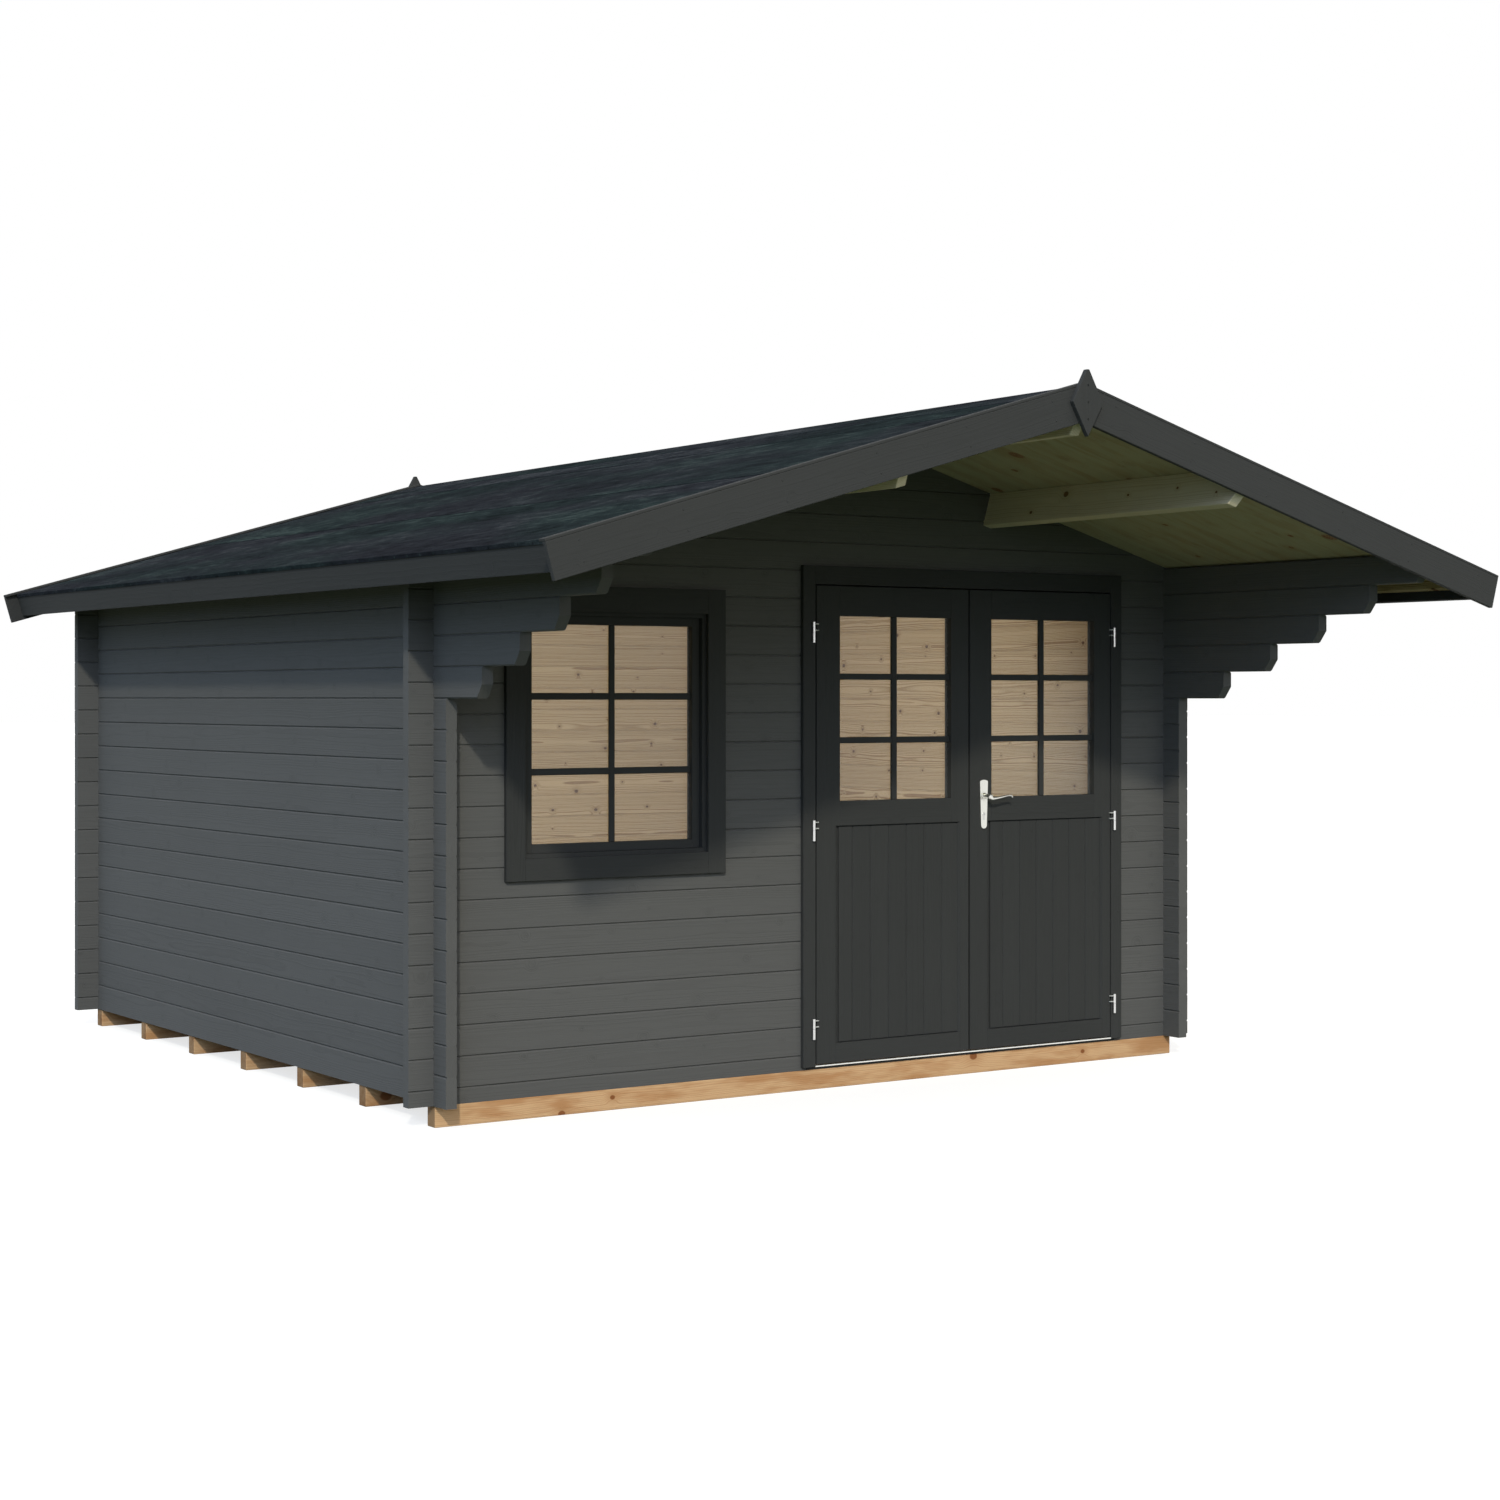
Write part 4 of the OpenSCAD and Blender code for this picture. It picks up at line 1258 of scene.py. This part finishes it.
lock = {
    "keyDrop": 0.077,  # key's axis under the lever's
    "keyRound": 0.0085,  # radius of the cylinder's head
    "keyTail": (0.0050, 0.0240),  # half width and depth under its axis
    "keyProud": 0.0012,
    "keySlot": (0.0009, 0.0042),
    "face": (0.010, 0.235),  # half width and height of the lock's face plate
    "faceProud": 0.0010,
    "faceRise": 0.62,  # share of the face plate that lies under the lever's axis
    "edge": 0.0004,
    "screwFoot": 0.013,  # the inner plate's screws, from its ends
    "screwHead": 0.024,
    "slotProud": 0.0001,
    "keepProud": 0.0002,
    "latch": (0.0060, 0.0170, 0.0042),  # half width, height and how proud the latch stands
    "bolt": (0.0060, 0.0300, 0.0008),
}


def smooth(piece):  # rounded faces, with the sharp edges kept
    mesh = piece.data
    mesh.polygons.foreach_set("use_smooth", [True] * len(mesh.polygons))
    mesh.set_sharp_from_angle(angle=math.radians(28))


def makeLock():
    axisX, axisZ = handleAxis
    keyZ = axisZ - lock["keyDrop"]
    radius, (tail, drop) = lock["keyRound"], lock["keyTail"]
    low = math.asin(tail / radius)
    outline = [(axisX - tail, keyZ - drop), (axisX + tail, keyZ - drop)]
    for i in range(25):
        turn = -math.pi / 2 + low + (2 * math.pi - 2 * low) * i / 24
        outline.append((axisX + radius * math.cos(turn), keyZ + radius * math.sin(turn)))
    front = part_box("handle_plate_outer")[0][1] - lock["keyProud"]
    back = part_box("handle_plate_inner")[1][1] + lock["keyProud"]
    boards = Boards(352)
    boards.prism(outline, "xz", front, back, (0, 0, 1))
    smooth(makePiece("lockCylinder", boards, materials["lock"], "right_door",
                     edge=lock["edge"]))
    # the key's slot is a near-black sheet just proud of each face: painted shade in place of a hole
    boards = Boards(353)
    wide, high = lock["keySlot"]
    proud = lock["slotProud"]
    for face in (front - proud, back - proud):
        boards.box((axisX - wide, face, keyZ - high), (axisX + wide, face + 2 * proud, keyZ + high))
    makePiece("keySlots", boards, materials["keySlot"], "right_door")


def makeLatch():
    # the lock's face plate on one leaf's edge and its keep on the other's
    front, back = depth("door_leaf_left")
    middle = (front + back) / 2
    half, high = lock["face"]
    z0 = handleAxis[1] - high * lock["faceRise"]
    for side, edgeX, out in (("right", sides("door_leaf_right")[0], -1),
                             ("left", sides("door_leaf_left")[1], 1)):
        boards = Boards(354)
        x0, x1 = sorted((edgeX, edgeX + out * lock["faceProud"]))
        boards.box((x0, middle - half, z0), (x1, middle + half, z0 + high))
        makePiece(side + "LockFace", boards, materials["lock"], side + "_door",
                  edge=lock["edge"])
        boards = Boards(356)
        for part, drop in (("latch", 0.0), ("bolt", lock["keyDrop"])):
            wide, tall, proud = lock[part]
            reach = proud if side == "right" else lock["keepProud"]
            faceX = lock["faceProud"]
            x0, x1 = sorted((edgeX + out * faceX, edgeX + out * (faceX + reach)))
            z = handleAxis[1] - drop
            boards.box((x0, middle - wide, z - tall / 2), (x1, middle + wide, z + tall / 2))
        # on the keep, the latch's and bolt's holes are near-black sheets on its face plate: painted
        # shade
        material = "handle" if side == "right" else "keySlot"
        makePiece(side + "LockParts", boards, materials[material], side + "_door")


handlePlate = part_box("handle_plate_outer")
handleAxis = ((handlePlate[0][0] + handlePlate[1][0]) / 2, handlePlate[1][2] - lever["axis"])
makeLever()
makeLock()
makeLatch()
for node in ("handle_plate_outer", "handle_plate_inner"):
    smooth(softenNode(node, "handle", planed["plateEdge"], "right_door"))
for node, body in (("hinge_posts", "root"), ("hinge_knuckles_left", "left_door"),
                   ("hinge_knuckles_right", "right_door")):
    smooth(softenNode(node, "hinge", planed["hingeEdge"], body))
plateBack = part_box("handle_plate_inner")[1]
screwHeights = (handlePlate[0][2] + lock["screwFoot"], handlePlate[1][2] - lock["screwHead"])
growHeads("plateScrews", [((handleAxis[0], plateBack[1], z), (0, 1, 0)) for z in screwHeights],
          heads["plate"], "handle", "right_door")
print("handle and hinges made")

# ---- camera, lamps and ground ----

view = {
    "place": (-6.0420, -9.6633, 1.5642),
    "turn": -33.843,
    "lens": 62.28,
    "shift": (-0.01213, -0.03469),
}
cameraData = bpy.data.cameras.new("camera")
cameraData.lens = view["lens"]
cameraData.sensor_width = 36.0
cameraData.shift_x, cameraData.shift_y = view["shift"]
cameraData.clip_end = 400.0
camera = bpy.data.objects.new("camera", cameraData)
camera.location = view["place"]
camera.rotation_euler = (math.radians(90), 0, math.radians(view["turn"]))
bpy.context.scene.collection.objects.link(camera)
bpy.context.scene.camera = camera

light = {
    "sunWay": (0.63, 1.0, -0.76),
    "sunPower": 1.72,
    "sunColour": (1.0, 0.955, 0.79),
    "sunSoft": math.radians(2.6),
    "hazeWay": (0.63, 1.0, -0.52),  # bluish light from round the sun
    "hazePower": 0.66,
    "hazeColour": (0.62, 0.76, 1.0),
    "hazeSoft": math.radians(28),
    "sky": (1.05, 1.03, 0.98),  # from the front
    "skyAside": (0.72, 0.93, 1.26),  # and from the left
    "bounce": (0.098, 0.128, 0.077),
    "groundPale": (0.40, 0.39, 0.38, 1),
    "groundGlow": 0.72,
    "groundReach": 150.0,
    "roomPower": 47.0,
    "roomSize": (2.2, 1.6),
    "roomPlace": (-0.45, 0.35, 1.45),  # Y from the front wall's face
    "roomColour": (1.0, 0.97, 0.90),
}
for name in ("sun", "haze"):
    lampData = bpy.data.lights.new(name, "SUN")
    lampData.energy = light[name + "Power"]
    lampData.color = light[name + "Colour"]
    lampData.angle = light[name + "Soft"]
    lamp = bpy.data.objects.new(name, lampData)
    lamp.rotation_euler = Vector(light[name + "Way"]).to_track_quat("-Z", "Y").to_euler()
    bpy.context.scene.collection.objects.link(lamp)

roomData = bpy.data.lights.new("roomLight", "AREA")  # evens the light inside
roomData.shape = "RECTANGLE"
roomData.size, roomData.size_y = light["roomSize"]
roomData.energy = light["roomPower"]
roomData.color = light["roomColour"]
room = bpy.data.objects.new("roomLight", roomData)
roomX, roomY, roomZ = light["roomPlace"]
room.location = (roomX, wallFront + roomY, roomZ)
room.rotation_euler = (math.radians(90), 0, 0)
room.visible_camera = False
room.visible_glossy = False
room.visible_transmission = False
bpy.context.scene.collection.objects.link(room)


def isSeen(net):  # 1 for the camera's rays, and for those that metal and glass show
    path = net.add("ShaderNodeLightPath", out="Is Camera Ray")
    shown = net.math("MAXIMUM", path.other("Is Glossy Ray"), path.other("Is Transmission Ray"))
    return net.math("MAXIMUM", path, shown)


world = bpy.data.worlds.new("sky")
bpy.context.scene.world = world
world.use_nodes = True
world.node_tree.nodes.clear()
net = Net(world.node_tree)
seen = isSeen(net)
skyPlace = net.add("ShaderNodeTexCoord", out="Generated")
way = net.add("ShaderNodeSeparateXYZ", None, {"Vector": skyPlace})
day = net.mix(net.smooth(way * -1.0, 0.0, 0.9), light["sky"], light["skyAside"])
sky = net.mix(seen, day, (1.0, 1.0, 1.0))
net.add("ShaderNodeOutputWorld", None, {
    "Surface": net.add("ShaderNodeBackground", None, {"Color": sky, "Strength": 1.0})})


def makeGround():
    # white where it is seen, with the cabin's shadow, and a dull green where it lights the eaves
    material, net = newMaterial("ground")
    seen = isSeen(net)
    pale = net.add("ShaderNodeBsdfDiffuse", None, {"Color": light["groundPale"]})
    glow = net.add("ShaderNodeEmission", None, {
        "Color": (1, 1, 1, 1), "Strength": light["groundGlow"]})
    white = net.add("ShaderNodeAddShader", None, {0: pale, 1: glow})
    lawn = net.add("ShaderNodeBsdfDiffuse", None, {"Color": (*light["bounce"], 1)})
    both = net.add("ShaderNodeMixShader", None, {0: seen, 1: lawn, 2: white})
    net.add("ShaderNodeOutputMaterial", None, {"Surface": both})
    mesh = bpy.data.meshes.new("ground")
    reach = light["groundReach"]
    corners = [(-reach, -reach, 0), (reach, -reach, 0), (reach, reach, 0), (-reach, reach, 0)]
    mesh.from_pydata(corners, [], [(0, 1, 2, 3)])
    mesh.materials.append(material)
    ground = bpy.data.objects.new("ground", mesh)
    bpy.context.scene.collection.objects.link(ground)


makeGround()
bpy.context.scene.view_settings.view_transform = "Standard"

print("scene made")
